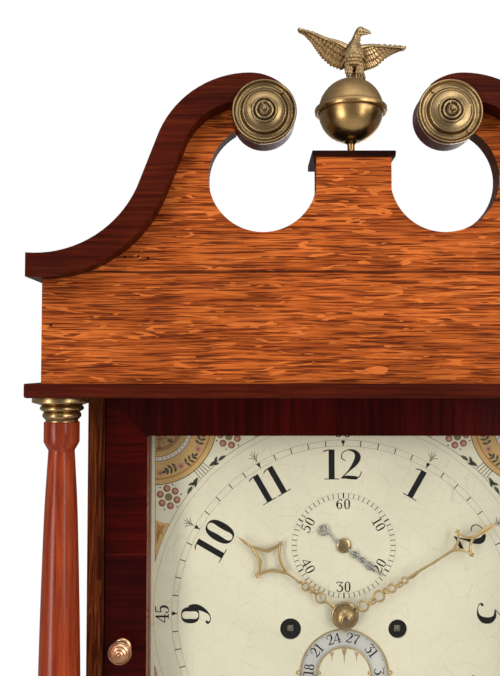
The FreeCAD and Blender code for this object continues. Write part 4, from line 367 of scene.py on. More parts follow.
# Each wood's grain direction and colours, then coarse, pores, flecks, figure, gloss, coat and relief
WOODS = {
    "oak, grain level": (LEVEL, OAK, 86.0, 0.85, 1.0, 0.22, 0.5, 0.0, 0.5, glued_seam),
    "oak, grain upright": (UPRIGHT, SIDE_OAK, 62.0, 0.8, 0.3, 0.35, 0.42, 0.08, 0.4),
    "oak, case boards": (UPRIGHT, CASE_OAK, 84.0, 0.7, 0.6, 0.3, 0.42, 0.04, 0.45),
    "mahogany, grain level": (LEVEL, MAHOGANY, 52.0, 0.25, 0.0, 0.3, 0.36, 0.04, 0.1),
    "dark mahogany": (LEVEL, DARK_MAHOGANY, 52.0, 0.25, 0.0, 0.2, 0.5, 0.0, 0.1),
    "turned wood": (UPRIGHT, CHERRY, 40.0, 0.25, 0.0, 0.2, 0.3, 0.38, 0.015),
    "pine": (UPRIGHT, PINE, 34.0, 0.15, 0.0, 0.25, 0.62, 0.0, 0.3),
    "pine, grain level": (LEVEL, PINE, 34.0, 0.15, 0.0, 0.25, 0.62, 0.0, 0.3),
}
for name, values in WOODS.items():
    wood(name, *values)
print("woods:", sorted(finishes))

# %% The veneered door
VENEER_JOINT = 1.838


def framed_veneer(name, low, high):
    """Veneer on a mitred frame: the grain turns at the mitre, which shows as a fine line."""
    tree, shader, place = new_finish(name)
    centre, half = (low + high) / 2, (high - low) / 2
    parts = add(tree, "SeparateXYZ", {0: place}).outputs

    def beyond(axis):
        """How far a point lies past the frame's edge, negative inside."""
        away = compute(tree, "ABSOLUTE", compute(tree, "SUBTRACT", parts[axis], centre[axis]))
        return compute(tree, "SUBTRACT", away, half[axis])

    def lay(share, colour, paint_over):
        return blend(tree, share, colour, srgb(*paint_over))

    side = beyond(0)
    apart = compute(tree, "SUBTRACT", beyond(2), side)
    on_rail = compute(tree, "GREATER_THAN", apart, 0.0)
    on_stile = compute(tree, "LESS_THAN", on_rail, 0.5)
    turned = [add(tree, "Mapping", {0: place, 2: turn}).outputs[0] for turn in (LEVEL, UPRIGHT)]
    along = add(tree, "Mix", {0: on_rail, 4: turned[0], 5: turned[1]}, data_type="VECTOR").outputs[1]
    grain = grained(tree, along, VENEER, 26.0, 0.15, 0.0, 0.9)
    wear_and_shade = worn(tree, place, 0.4, 24.0)
    mitre = between(tree, compute(tree, "ABSOLUTE", apart), 0.0006, 0.0002, 0.0, 0.25)
    colour = lay(mitre, grain["Color"], (96, 30, 20))
    height = compute(tree, "SUBTRACT", parts[2], VENEER_JOINT)
    lower = compute(tree, "MULTIPLY", compute(tree, "LESS_THAN", height, 0.0), on_stile)
    colour = lay(compute(tree, "MULTIPLY", lower, 0.35), colour, (20, 6, 6))
    joint = between(tree, compute(tree, "ABSOLUTE", height), 0.0005, 0.0002, 0.0, 0.3)
    colour = lay(compute(tree, "MULTIPLY", joint, on_stile), colour, (110, 40, 26))
    # Creases turn near-black: dirt, and painted shade.
    colour = sawn_edge(tree, lay(wear_and_shade["Dirt and shade"], colour, (18, 2, 2)), (122, 62, 38))
    fill(tree, shader.inputs, {
        "Base Color": colour, "Roughness": compute(tree, "MULTIPLY_ADD", wear_and_shade["Uneven"], 0.14, 0.2),
        "Normal": bump(tree, grain["Height"], 0.1, 0.0003),
        "Coat Weight": 0.05, "Coat Roughness": 0.1, "IOR": 1.5, "Specular IOR Level": 0.05,
    })


framed_veneer("door veneer", *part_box("hood_door_frame"))

# %% [markdown]
# ## Brass, steel and iron
# Old brass is bright only where it is rubbed, and in hollows it has gone brown. The wear and shade group's
# mask darkens hollows and brightens edges: patina and rubbing, and also painted shade and painted highlight.
# It drives both colour and roughness. The movement's brass is cleaner and has a straight brushed look.


# %% Metals
def metal(name, bright, dull, rough=0.28, dirt_and_shade=0.9, brushed=0.2, grime_scale=90.0):
    tree, shader, place = new_finish(name)
    wear_and_shade = worn(tree, place, dirt_and_shade, grime_scale)
    marks = streaks(tree, place, (900.0, 900.0, 60.0), 2.0, 0.5)
    cloud = streaks(tree, place, (22.0, 22.0, 22.0), 4.0, 0.6, 0.6)
    tone = blend(tree, between(tree, cloud, 0.3, 0.72), srgb(*bright), srgb(*dull))
    # Hollows turn dark brown: patina, and painted shade.
    tone = blend(tree, wear_and_shade["Dirt and shade"], tone, tinted(dull, 0.3))
    value = compute(tree, "MULTIPLY_ADD", wear_and_shade["Dirt and shade"], 0.35, rough)
    uneven = compute(tree, "MULTIPLY_ADD", marks, 0.3, wear_and_shade["Uneven"])
    fill(tree, shader.inputs, {
        # Convex edges brighten past the bright colour: rubbed wear, and painted highlight.
        "Base Color": blend(tree, wear_and_shade["Rubbed and highlight"], tone, tinted(bright, 1.12)),
        "Roughness": compute(tree, "MULTIPLY_ADD", compute(tree, "SUBTRACT", marks, 0.5), brushed, value),
        "Normal": bump(tree, uneven, 0.12, 0.0003), "Metallic": 1.0,
    })


# Each metal's bright and dull colours, then roughness, dirt and painted shade, brush marks and the size of the grime
METALS = {
    "old brass": ((182, 154, 110), (116, 94, 62), 0.26, 0.95),
    "mount brass": ((204, 172, 120), (140, 112, 74), 0.26, 0.65),
    "movement brass": ((208, 172, 104), (172, 136, 76), 0.3, 0.4, 0.3),
    "gilt hands": ((184, 156, 106), (122, 98, 62), 0.34, 0.8),
    "knob brass": ((226, 180, 142), (186, 138, 102), 0.3, 0.4),
    "satin brass": ((176, 146, 100), (140, 110, 70), 0.5, 0.6),
    "ball brass": ((188, 152, 100), (150, 116, 66), 0.27, 0.35, 0.12),
    # The eagle's casting takes the most: patina and painted shade in its hollows, rubbing and painted highlight on its
    # edges.
    "cast brass": ((164, 138, 100), (88, 70, 46), 0.32, 1.3, 0.2, 160.0),
    "steel": ((170, 168, 164), (104, 102, 100), 0.34, 0.6, 0.3),
    "iron": ((92, 88, 84), (52, 48, 44), 0.55, 0.8, 0.1),
    "bell metal": ((212, 184, 136), (168, 136, 92), 0.24, 0.5),
}
for name, values in METALS.items():
    metal(name, *values)
print("metals:", len(METALS))


# %% Paint and gut
def paint(name, base, stain, cracks=0.25, rough=0.36, coat=0.15, specular=0.25):
    tree, shader, place = new_finish(name)
    cloud = streaks(tree, place, (9.0, 9.0, 9.0), 5.0, 0.6, 0.4)
    specks = streaks(tree, place, (420.0, 420.0, 420.0), 2.0, 0.5)
    tone = blend(tree, between(tree, cloud, 0.35, 0.75), srgb(*base), srgb(*stain))
    crack = add(tree, "TexVoronoi", {"Vector": place, "Scale": 70.0}, feature="DISTANCE_TO_EDGE").outputs[0]
    crack = between(tree, crack, 0.02, 0.0, 0.0, cracks)
    marks = compute(tree, "MAXIMUM", crack, between(tree, specks, 0.7, 0.76, 0.0, 0.35))
    fill(tree, shader.inputs, {
        "Base Color": blend(tree, marks, tone, tinted(stain, 0.72)),
        "Roughness": compute(tree, "MULTIPLY_ADD", cloud, 0.2, rough - 0.1),
        "Normal": bump(tree, cloud, 0.05, 0.001),
        "Coat Weight": coat, "Coat Roughness": 0.1, "Specular IOR Level": specular,
    })


# Each paint's base and stain, then cracks, roughness, coat and specular level
PAINTS = {
    "dial paint": ((224, 215, 187), (208, 201, 174)),
    "date paint": ((206, 202, 192), (176, 172, 166), 0.1),
    "ink": ((10, 8, 7), (16, 13, 10), 0.0, 0.5, 0.0, 0.02),
    "faint ink": ((150, 145, 124), (166, 160, 138), 0.0, 0.5, 0.0),
    "dark board": ((118, 62, 40), (96, 48, 30), 0.0, 0.5, 0.1),
    "gut line": ((176, 138, 84), (148, 108, 62), 0.0, 0.5, 0.2),
    "ochre paint": ((206, 168, 104), (182, 140, 78), 0.15),
    "deep ochre": ((172, 122, 62), (150, 104, 50), 0.1),
    "white paint": ((224, 214, 196), (208, 196, 176), 0.1),
    "leaf green": ((52, 50, 30), (72, 68, 40), 0.0),
    "berry red": ((146, 88, 62), (126, 72, 50), 0.0),
    "pale pink": ((192, 140, 112), (176, 122, 94), 0.0),
    "olive berry": ((128, 110, 72), (108, 90, 58), 0.0),
    "drop brown": ((170, 146, 112), (150, 126, 94), 0.0),
}
for name, values in PAINTS.items():
    paint(name, *values)


# %% Window glass
def clear_glass():
    """Old crown glass. Light that only passes through it is let through straight, so it casts no shadow."""
    tree, shader, place = new_finish("window glass")
    smear = streaks(tree, place, (14.0, 14.0, 4.0), 4.0, 0.6)
    fill(tree, shader.inputs, {
        "Base Color": (0.97, 0.99, 0.98, 1), "IOR": 1.45, "Transmission Weight": 1.0, "Specular IOR Level": 0.1,
        "Roughness": between(tree, smear, 0.35, 0.8, 0.0, 0.05),
        "Normal": bump(tree, streaks(tree, place, (6.0, 6.0, 9.0), 2.0, 0.5), 0.05, 0.002),
    })
    ray = add(tree, "LightPath").outputs
    passing = compute(tree, "MAXIMUM", ray["Is Shadow Ray"], ray["Is Diffuse Ray"])
    clear = add(tree, "BsdfTransparent").outputs[0]
    chosen = add(tree, "MixShader", {0: passing, 1: shader.outputs[0], 2: clear}).outputs[0]
    tree.links.new(chosen, tree.nodes["Material Output"].inputs["Surface"])


clear_glass()
print("finishes:", len(finishes))

# %% [markdown]
# ## Dress the frame
# Most of the frame's own pieces keep their shape and only need a finish. The table names each one.

# %% Which finish each piece of the frame takes
NODE_FINISH = {
    "oak, grain level": "tympanum_board frieze_boards",
    "oak, grain upright": "hood_side_boards",
    "oak, case boards": "base_boards trunk_front_frame trunk_side_boards",
    "mahogany, grain level": "cornice_moulding swan_necks case_mouldings hood_base_frame bracket_feet trunk_door",
    "dark mahogany": "block_cap",
    "turned wood": "hood_columns",
    "door veneer": "hood_door_frame",
    "pine": "backboard",
    "pine, grain level": "seatboard hood_top_boards",
    "old brass": "column_mounts rosettes finial trunk_hinges_case trunk_hinges_door trunk_lock "
                 "hood_door_pivots",
    "knob brass": "hood_door_knob",
    "gilt hands": "hour_hand minute_hand",
    "movement brass": "movement_plates movement_pillars going_great_wheel centre_wheel third_wheel "
                      "escape_wheel strike_great_wheel pin_wheel warning_wheel fly going_barrel "
                      "strike_barrel minute_wheel pendulum_bob going_pulley strike_pulley",
    "steel": "trunk_lock_bolt trunk_key seconds_hand pendulum_rod pallets_and_crutch hammer",
    "iron": "going_weight strike_weight",
    "bell metal": "bell",
    "dial paint": "dial_plate",
    "date paint": "date_disc",
    "dark board": "dial_mask",
    "window glass": "hood_door_glass",
    "gut line": "going_line strike_line line_leads",
}
bare = set(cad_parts)
for finish, names in NODE_FINISH.items():
    for name in names.split():
        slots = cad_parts[name].data.materials
        slots.clear()
        slots.append(finishes[finish])
        bare.discard(name)
print("pieces of the frame still without a finish:", sorted(bare))

# %% [markdown]
# ## A pen that draws solid strokes
# Numbers, rings and the pierced hands are all strokes: a line with a width that swells and thins. One
# helper carries a small cross-section along a smooth path, so a flat section gives ink and a round one
# gives wire. Each point of a path holds its place and its width.


# %% Paths
def eased(points, steps=8):
    """A smooth path through the points; widths are blended in the same way as places."""
    if len(points) < 3:
        return [tuple(point) for point in points]
    path = []
    for before, here, after, beyond in zip([points[0], *points], points, points[1:], [*points[2:], points[-1]]):
        for step in range(steps):
            t = step / steps
            path.append(tuple(
                0.5 * (2 * b + (c - a) * t + (2 * a - 5 * b + 4 * c - d) * t**2 + (3 * b - 3 * c + d - a) * t**3)
                for a, b, c, d in zip(before, here, after, beyond)
            ))
    path.append(tuple(points[-1]))
    return path


def turns_between(start, end, steps):
    """Angles in radians from one angle in degrees to another."""
    return [math.radians(start + (end - start) * step / steps) for step in range(steps + 1)]


def ring_path(x, z, radius, width, tall=None, steps=40):
    """A circle, or an oval where tall is given, as a closed path."""
    return [(x + radius * math.sin(turn), z + (tall or radius) * math.cos(turn), width)
            for turn in turns_between(0, 360, steps)[:-1]]


def bowl_path(x, z, wide, tall, thick, thin):
    """The bowl of a number: thick at its sides and thin above and below."""
    path = []
    for turn in turns_between(0, 360, 28)[:-1]:
        width = thin + (thick - thin) * abs(math.sin(turn)) ** 1.6
        path.append((x + (wide - width / 2) * math.sin(turn), z + (tall - thin / 2) * math.cos(turn), width))
    return path


def turned_by(path, angle, x=0.0, z=0.0, scale=1.0):
    """A path scaled, turned clockwise by an angle in degrees, and moved."""
    c, s = math.cos(math.radians(angle)), math.sin(math.radians(angle))
    return [(x + (px * c + pz * s) * scale, z + (pz * c - px * s) * scale, *(width * scale for width in rest))
            for px, pz, *rest in path]


def round_from(centre, radius, angle):
    """The x and z of a point on a circle, clockwise in degrees from its top."""
    turn = math.radians(angle)
    return centre.x + radius * math.sin(turn), centre.z + radius * math.cos(turn)


# %% Solids gathered for one mesh
ROUND = [(math.cos(math.tau * step / 10), math.sin(math.tau * step / 10)) for step in range(10)]
FLAT = [(-1, 0), (1, 0), (1, 1), (-1, 1)]
JOIN_GAP = 1e-7


class Shape:
    """Points and faces of solids that become one piece."""

    def __init__(self):
        self.points = []
        self.faces = []

    def skin(self, rows, closed=False, capped=True):
        """Joins rows of points, each a loop of the same length, and closes both ends with a face."""
        start, size, count = len(self.points), len(rows[0]), len(rows)
        for row in rows:
            self.points.extend(row)
        for row in range(count if closed else count - 1):
            one, two = start + row * size, start + (row + 1) % count * size
            for edge in range(size):
                far = (edge + 1) % size
                self.faces.append((one + edge, one + far, two + far, two + edge))
        if capped and not closed:
            for end in (start, start + (count - 1) * size):
                self.faces.append(tuple(range(end, end + size)))

    def sweep(self, path, y, depth, section=FLAT, closed=False):
        """Carries a section along a path of x, z and width; the section's second number goes forward by depth."""
        rows = []
        for index, (x, z, width) in enumerate(path):
            last = path[index - 1] if index or closed else path[index]
            following = path[(index + 1) % len(path)] if index < len(path) - 1 or closed else path[index]
            way = Vector((following[0] - last[0], following[1] - last[1]))
            way = way.normalized() if way.length else Vector((0, 1))
            rows.append([(x + way.y * side * width / 2, y - out * depth, z - way.x * side * width / 2)
                         for side, out in section])
        self.skin(rows, closed)

    def patch(self, outline, y, depth):
        """A flat filled shape; its outline has to be seen whole from its middle."""
        start, count = len(self.points), len(outline)
        middle_x = sum(x for x, _ in outline) / count
        middle_z = sum(z for _, z in outline) / count
        for place in (y, y - depth):
            self.points.append((middle_x, place, middle_z))
            self.points.extend((x, place, z) for x, z in outline)
        other = start + count + 1
        for index in range(count):
            here, after = 1 + index, 1 + (index + 1) % count
            self.faces.append((start, start + after, start + here))
            self.faces.append((other, other + here, other + after))
            self.faces.append((start + here, start + after, other + after, other + here))

    def piece(self, name, finish, body, slot, smooth=35, replaced=None):
        """The mesh with outward faces, smooth up to an angle in degrees, on its body."""
        mesh = bpy.data.meshes.new(name)
        mesh.from_pydata([tuple(point) for point in self.points], [], self.faces)
        work = bmesh.new()
        work.from_mesh(mesh)
        bmesh.ops.remove_doubles(work, verts=work.verts, dist=JOIN_GAP)
        bmesh.ops.recalc_face_normals(work, faces=work.faces)
        work.to_mesh(mesh)
        work.free()
        mesh.shade_smooth()
        mesh.set_sharp_from_angle(angle=math.radians(smooth))
        mesh.materials.append(finishes[finish])
        return settle(new_object(name, mesh), body, replaced)


def settle(made, body, replaced=None):
    """Lets a piece ride its body, and the node of the frame that it stands for."""
    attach(made, body)
    if replaced:
        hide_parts(replaced)
    print(made.name, "has", len(made.data.polygons), "faces")
    return made


# %% [markdown]
# ## Numbers with thick stems and thin hairlines
# Painted dials of this age carry numbers in a high-contrast hand. Each figure is a few strokes in a box
# one unit tall. The widths do the work: a stem is about seven times as wide as a hairline.

# %% The ten figures
STEM = 0.2
HAIR = 0.03
# Each figure's advance, then its strokes: a list is a line through (x, z, width), and a tuple is a bowl.
NINE = (
    (0.23, 0.69, 0.215, 0.305, 0.15, HAIR),
    [(0.40, 0.74, 0.16), (0.42, 0.52, STEM), (0.37, 0.28, 0.14), (0.25, 0.06, 0.045), (0.12, 0.02, HAIR),
     (0.05, 0.10, 0.078), (0.10, 0.16, 0.066)],
)
FIGURES = {
    "0": (0.54, (0.26, 0.5, 0.26, 0.5, 0.21, HAIR)),
    "1": (0.40, [(0.2, 0.0, STEM), (0.2, 1.0, STEM)],
          [(0.02, 0.012, HAIR), (0.38, 0.012, HAIR)],
          [(0.0, 0.91, HAIR), (0.06, 0.965, 0.039), (0.18, 0.985, HAIR)]),
    "2": (0.56, [(0.13, 0.62, HAIR), (0.04, 0.72, 0.036), (0.06, 0.88, HAIR), (0.2, 0.985, 0.036), (0.36, 0.93, 0.11),
                 (0.43, 0.76, STEM), (0.37, 0.55, 0.17), (0.22, 0.3, 0.06), (0.04, 0.05, HAIR)],
          [(0.02, 0.04, HAIR), (0.14, 0.075, 0.1), (0.28, 0.06, 0.124), (0.42, 0.05, 0.1)],
          [(0.40, 0.03, HAIR), (0.47, 0.10, HAIR), (0.52, 0.27, HAIR)]),
    "3": (0.54, [(0.04, 0.82, HAIR), (0.06, 0.975, 0.042), (0.24, 0.975, 0.06), (0.46, 0.985, HAIR)],
          [(0.46, 0.98, HAIR), (0.18, 0.6, HAIR)],
          [(0.18, 0.6, HAIR), (0.34, 0.58, 0.11), (0.43, 0.42, STEM), (0.42, 0.2, STEM), (0.32, 0.05, 0.1),
           (0.18, 0.015, HAIR), (0.06, 0.07, HAIR), (0.05, 0.16, 0.072), (0.1, 0.18, 0.066)]),
    "4": (0.56, [(0.38, 0.98, HAIR), (0.0, 0.29, HAIR)],
          [(0.0, 0.28, HAIR), (0.52, 0.28, HAIR)],
          [(0.37, 0.0, 0.16), (0.37, 0.97, 0.14)],
          [(0.24, 0.012, HAIR), (0.52, 0.012, HAIR)]),
    "5": (0.54, [(0.1, 0.95, 0.06), (0.24, 0.95, 0.08), (0.42, 0.99, HAIR)],
          [(0.1, 0.95, HAIR), (0.08, 0.53, HAIR)],
          [(0.08, 0.53, HAIR), (0.22, 0.62, 0.045), (0.36, 0.56, 0.14), (0.42, 0.36, STEM), (0.37, 0.13, 0.15),
           (0.22, 0.015, HAIR), (0.08, 0.05, HAIR), (0.04, 0.15, 0.075), (0.1, 0.18, 0.066)]),
    "7": (0.52, [(0.03, 0.94, 0.08), (0.2, 0.94, 0.11), (0.46, 0.95, 0.06)],
          [(0.04, 0.96, HAIR), (0.02, 0.76, HAIR)],
          [(0.46, 0.94, HAIR), (0.33, 0.6, 0.1), (0.24, 0.25, STEM), (0.24, 0.0, STEM)]),
    "8": (0.54, (0.26, 0.755, 0.2, 0.245, 0.14, HAIR), (0.26, 0.26, 0.25, 0.26, 0.17, HAIR)),
    "9": (0.54, *NINE),
}


def upside_down(stroke, wide=0.48, tall=1.0):
    """The same stroke turned half round, which makes a six of a nine."""
    if isinstance(stroke, tuple):
        return (wide - stroke[0], tall - stroke[1], *stroke[2:])
    return [(wide - x, tall - z, width) for x, z, width in stroke]


FIGURES["6"] = (0.54, *map(upside_down, NINE))
print("figures ready:", "".join(sorted(FIGURES)))

# %% Write figures along a ring
INK_DEPTH = 0.05 * MM
EVEN_GAIN = 0.045


def write(strokes, text, height, radius, angle, y, centre=DIAL, reading=0.0, wide=1.0, even=0.0):
    """Writes at an angle in degrees from the top; even brings thick and thin together."""
    pen = -sum(FIGURES[figure][0] for figure in text) / 2
    thinnest = HAIR + even * EVEN_GAIN
    place = round_from(centre, radius, angle)
    for figure in text:
        advance, *parts = FIGURES[figure]
        for layer, part in enumerate(parts):
            closed = isinstance(part, tuple)
            path = bowl_path(*part) if closed else eased(part)
            path = [((x + pen) * wide, z - 0.5, thinnest + (width - HAIR) * (1 - even * 0.5)) for x, z, width in path]
            path = turned_by(path, angle + reading, *place, height)
            strokes.sweep(path, y, INK_DEPTH * (1 + 0.25 * layer), closed=closed)
        pen += advance


# %% [markdown]
# ## The painted dial
# The dial is iron painted cream. On it are a ring of hour numbers, a minute track of two fine circles
# with sixty ticks, small sprigs at the five-minute marks and numbers at the quarters, a ring for the
# seconds, and a fan in each corner. All of it is paint, so every stroke stands only a hair off the plate.

# %% Hour, minute and second numbers
DIAL_FACE = DIAL.y
HOUR_RING = 126 * MM
HOUR_HEIGHT = 25.5 * MM
MINUTE_RING = 155 * MM
MINUTE_HEIGHT = 11.5 * MM
SECONDS_CENTRE = DIAL + Vector((0, 0, 57.3)) * MM
SECONDS_RING = 35 * MM
SECONDS_HEIGHT = 8.2 * MM

numbers = Shape()
for hour in range(1, 13):
    write(numbers, str(hour), HOUR_HEIGHT, HOUR_RING, 30 * hour, DIAL_FACE, wide=1.4)
for minute in (15, 30, 45, 60):
    reading = 180 if minute == 30 else 0
    write(numbers, str(minute), MINUTE_HEIGHT, MINUTE_RING, 6 * minute, DIAL_FACE, DIAL, reading, 1.2, 0.8)
for second in range(10, 70, 10):
    reading = 180 if second in (20, 30, 40) else 0
    write(numbers, str(second), SECONDS_HEIGHT, SECONDS_RING, 6 * second, DIAL_FACE, SECONDS_CENTRE, reading, 1.45, 1.0)
numbers.piece("dial_numbers", "ink", "case", "dial_paint", 60)

# %% Fine circles
FINE = 0.35 * MM
OUTER_CIRCLE = 166.8 * MM
INNER_CIRCLE = 162.2 * MM
TRACK_OUTER = 146.9 * MM
TRACK_INNER = 141.7 * MM
SECONDS_OUTER = 44.3 * MM
SECONDS_INNER = 40.2 * MM

faint = Shape()
for centre, radii, width, steps in ((DIAL, (INNER_CIRCLE, TRACK_OUTER, TRACK_INNER), FINE, 180),
                                    (SECONDS_CENTRE, (SECONDS_OUTER, SECONDS_INNER), FINE * 0.6, 90)):
    for radius in radii:
        circle = ring_path(centre.x, centre.z, radius, width, steps=steps)
        faint.sweep(circle, DIAL_FACE, INK_DEPTH, closed=True)
faint.piece("dial_faint_circles", "faint ink", "case", "dial_paint", 60)

# %% Border lines in the corners, and sprigs at the five-minute marks
BORDER = 161 * MM
SPRIG_HEIGHT = 10 * MM
ARROW_HEIGHT = 4.2 * MM
ARROW_RING = TRACK_INNER * 1.018
CORNERS = [(x_side, z_side) for x_side in (-1, 1) for z_side in (-1, 1)]
cut_turn = math.degrees(math.asin(BORDER / OUTER_CIRCLE))
cut = OUTER_CIRCLE * math.cos(math.radians(cut_turn))
lines = Shape()
for x_side, z_side in CORNERS:
    lines.sweep([(DIAL.x + x_side * OUTER_CIRCLE * math.sin(turn), DIAL.z + z_side * OUTER_CIRCLE * math.cos(turn), FINE)
                 for turn in turns_between(90 - cut_turn, cut_turn, 40)], DIAL_FACE, INK_DEPTH)
    edges = [(DIAL.x + x_side * u, DIAL.z + z_side * v, FINE) for u, v in ((BORDER, cut), (BORDER, BORDER), (cut, BORDER))]
    lines.sweep(edges[:2], DIAL_FACE, INK_DEPTH * 1.2)
    lines.sweep(edges[1:], DIAL_FACE, INK_DEPTH * 1.2)
SPRIG = [[(0, 0, 0.05), (0.02, 0.5, 0.05), (0, 1, 0.03)]]
for low, bend_x, bend_z, tip_x, tip_z in ((0.1, 0.22, 0.45, 0.5, 0.62), (0.3, 0.14, 0.66, 0.26, 0.86)):
    for side in (1, -1):
        SPRIG.append([(0, low, 0.04), (side * bend_x, bend_z, 0.05), (side * tip_x, tip_z, 0.03)])
ARROW = [(0, -0.5, 0.02), (0, 0.5, 0.9)]
for five in range(12):
    angle = 30 * five
    arrow = turned_by(ARROW, angle, *round_from(DIAL, ARROW_RING, angle), ARROW_HEIGHT)
    lines.sweep(arrow, DIAL_FACE, INK_DEPTH * 1.4)
    for stem in SPRIG if five % 3 else ():
        path = turned_by(eased(stem), angle, *round_from(DIAL, TRACK_OUTER + MM, angle), SPRIG_HEIGHT)
        lines.sweep(path, DIAL_FACE, INK_DEPTH)
lines.piece("dial_circles", "ink", "case", "dial_paint", 60)

# %% [markdown]
# ## Ticks round a ring, with Geometry Nodes
# Sixty ticks are one bar copied round a circle. A Geometry Nodes tree holds that rule: a circle of
# points, a bar on each, turned to point at the centre. The same tree draws the minute track, the
# seconds ring and its longer ticks at the tens, each with its own sizes.


# %% The tick tree
def end_tree(tree, geometry, given, out):
    """Makes the copies real and gives them the material."""
    real = add(tree, "GeometryNodeRealizeInstances", {0: geometry.outputs[0]})
    dressed = add(tree, "GeometryNodeSetMaterial", {"Geometry": real.outputs[0], "Material": given["Material"]})
    tree.links.new(dressed.outputs[0], out[0])
    return tree


def tick_tree():
    tree, given, out = new_group(
        "ticks round a ring",
        {"Count": "Int", "Radius": "Float", "Length": "Float", "Width": "Float", "Depth": "Float",
         "Place": "Vector", "Turn": "Float", "Material": "Material"},
        {"Geometry": "Geometry"}, "Geometry",
    )
    circle = add(tree, "GeometryNodeMeshCircle", {"Vertices": given["Count"], "Radius": given["Radius"]})
    size = add(tree, "CombineXYZ", {0: given["Length"], 1: given["Width"], 2: given["Depth"]})
    bar = add(tree, "GeometryNodeMeshCube", {"Size": size.outputs[0]})
    place = add(tree, "GeometryNodeInputPosition")
    aim = add(tree, "FunctionNodeAlignRotationToVector", {"Vector": place.outputs[0]}, axis="X")
    copies = add(tree, "GeometryNodeInstanceOnPoints",
                 {"Points": circle.outputs[0], "Instance": bar.outputs[0], "Rotation": aim.outputs[0]})
    turn = add(tree, "CombineXYZ", {0: math.pi / 2, 1: given["Turn"]})
    upright = add(tree, "GeometryNodeTransform", {"Geometry": copies.outputs[0], "Rotation": turn.outputs[0],
                                                  "Translation": given["Place"]})
    return end_tree(tree, upright, given, out)


def grown(name, tree, body, slot, **values):
    """Runs a Geometry Nodes tree on an empty mesh and keeps the result as a plain mesh."""
    seed = new_object(name + "_seed", bpy.data.meshes.new(name + "_seed"))
    modifier = seed.modifiers.new("grown", "NODES")
    modifier.node_group = tree
    names = {item.name: item.identifier for item in tree.interface.items_tree if item.in_out == "INPUT"}
    for key, value in values.items():
        modifier[names[key]] = value
    bpy.context.view_layer.update()
    mesh = bpy.data.meshes.new_from_object(seed.evaluated_get(bpy.context.evaluated_depsgraph_get()))
    seed.modifiers.remove(modifier)
    bpy.data.objects.remove(seed)
    mesh.name = name
    return settle(new_object(name, mesh), body)


# %% Grow the ticks
TICKS = tick_tree()
TICK_WIDTH = 0.8 * MM
# Name, count, ring, shares of its length, of the tick's width and of the ink's depth, turn and centre
for name, count, (outer, inner), long, wide, deep, turn, centre in (
    ("minute_ticks", 60, (TRACK_OUTER, TRACK_INNER), 1.0, 1.0, 2.0, 0.0, DIAL),
    ("seconds_ticks", 60, (SECONDS_OUTER, SECONDS_INNER), 1.0, 0.8, 2.0, 0.0, SECONDS_CENTRE),
    ("ten_second_ticks", 6, (SECONDS_OUTER, SECONDS_INNER), 1.1, 1.4, 2.2, math.pi / 2, SECONDS_CENTRE),
):
    grown(name, TICKS, "case", "dial_paint", Count=count, Radius=(outer + inner) / 2, Length=(outer - inner) * long,
          Width=TICK_WIDTH * wide, Depth=INK_DEPTH * deep, Turn=turn, Place=centre, Material=finishes["ink"])

# %% [markdown]
# ## Painted corners
# Each corner of the dial holds a quarter fan on a gold ground: a dotted white band, a wide band with
# leaf sprays and small flowers, and a cluster of berries on each side. The four corners are the same
# drawing mirrored, so it is drawn once in its own corner and copied by two signs.


# %% A drawing that is mirrored into the four corners
class Corner(Shape):
    """Strokes and patches in each corner; u and v run from the corner inwards, in millimetres."""

    def draw(self, shape, layer=1.0, twice=False):
        """Draws a stroke of (u, v, width) or a patch of (u, v); twice adds it across the diagonal."""
        mirrored = [(v, u, *rest) for u, v, *rest in shape]
        edge = BORDER / MM
        for outline in (shape, mirrored) if twice else (shape,):
            for x_side, z_side in CORNERS:
                placed = [(DIAL.x + x_side * (edge - u) * MM, DIAL.z + z_side * (edge - v) * MM,
                           *(width * MM for width in rest)) for u, v, *rest in outline]
                put = self.sweep if len(shape[0]) == 3 else self.patch
                put(placed, DIAL_FACE, INK_DEPTH * layer)

    def done(self, name, finish):
        self.piece(name, finish, "case", "dial_paint", 60)


def polar(radius, angle, u=0.0, v=0.0):
    """A point at a radius and an angle in degrees round another point."""
    return u + radius * math.cos(math.radians(angle)), v + radius * math.sin(math.radians(angle))


def quarter(radius, start=0.0, end=90.0, steps=24):
    return [(radius * math.cos(turn), radius * math.sin(turn)) for turn in turns_between(start, end, steps)]


def arc(radius, width, steps=24):
    return [(u, v, width) for u, v in quarter(radius, steps=steps)]


def disc(u, v, radius, steps=14):
    return [(u + radius * math.cos(turn), v + radius * math.sin(turn)) for turn in turns_between(0, 360, steps)[:-1]]


def leaf(u, v, angle, length, width):
    """A pointed leaf from its stalk, as a stroke that swells and thins; the angle turns from u to v."""
    stops = ((0, 0.1), (0.25, 0.75), (0.5, 1.0), (0.75, 0.7), (1, 0.06))
    return eased([(*polar(length * share, angle, u, v), width * swell) for share, swell in stops], 4)


# %% The fan's ground and shading
FAN = 52.3
WHITE_BAND = (28.8, 32.4)
WEDGE_LEVELS = (85, 90, 96, 102, 108, 113)
WEDGE_GAP = 0.3
wedge_edge = [((BORDER - math.sqrt(OUTER_CIRCLE**2 - (BORDER - level * MM) ** 2)) / MM - WEDGE_GAP, level)
              for level in WEDGE_LEVELS]
ground = Corner()
ground.draw([(0, 0), *quarter(FAN)], 0.5)
ground.draw([(0, 82.5), (6.5, 84.5), *wedge_edge, (0, 117)], 0.5, True)
ground.done("corner_ground", "ochre paint")

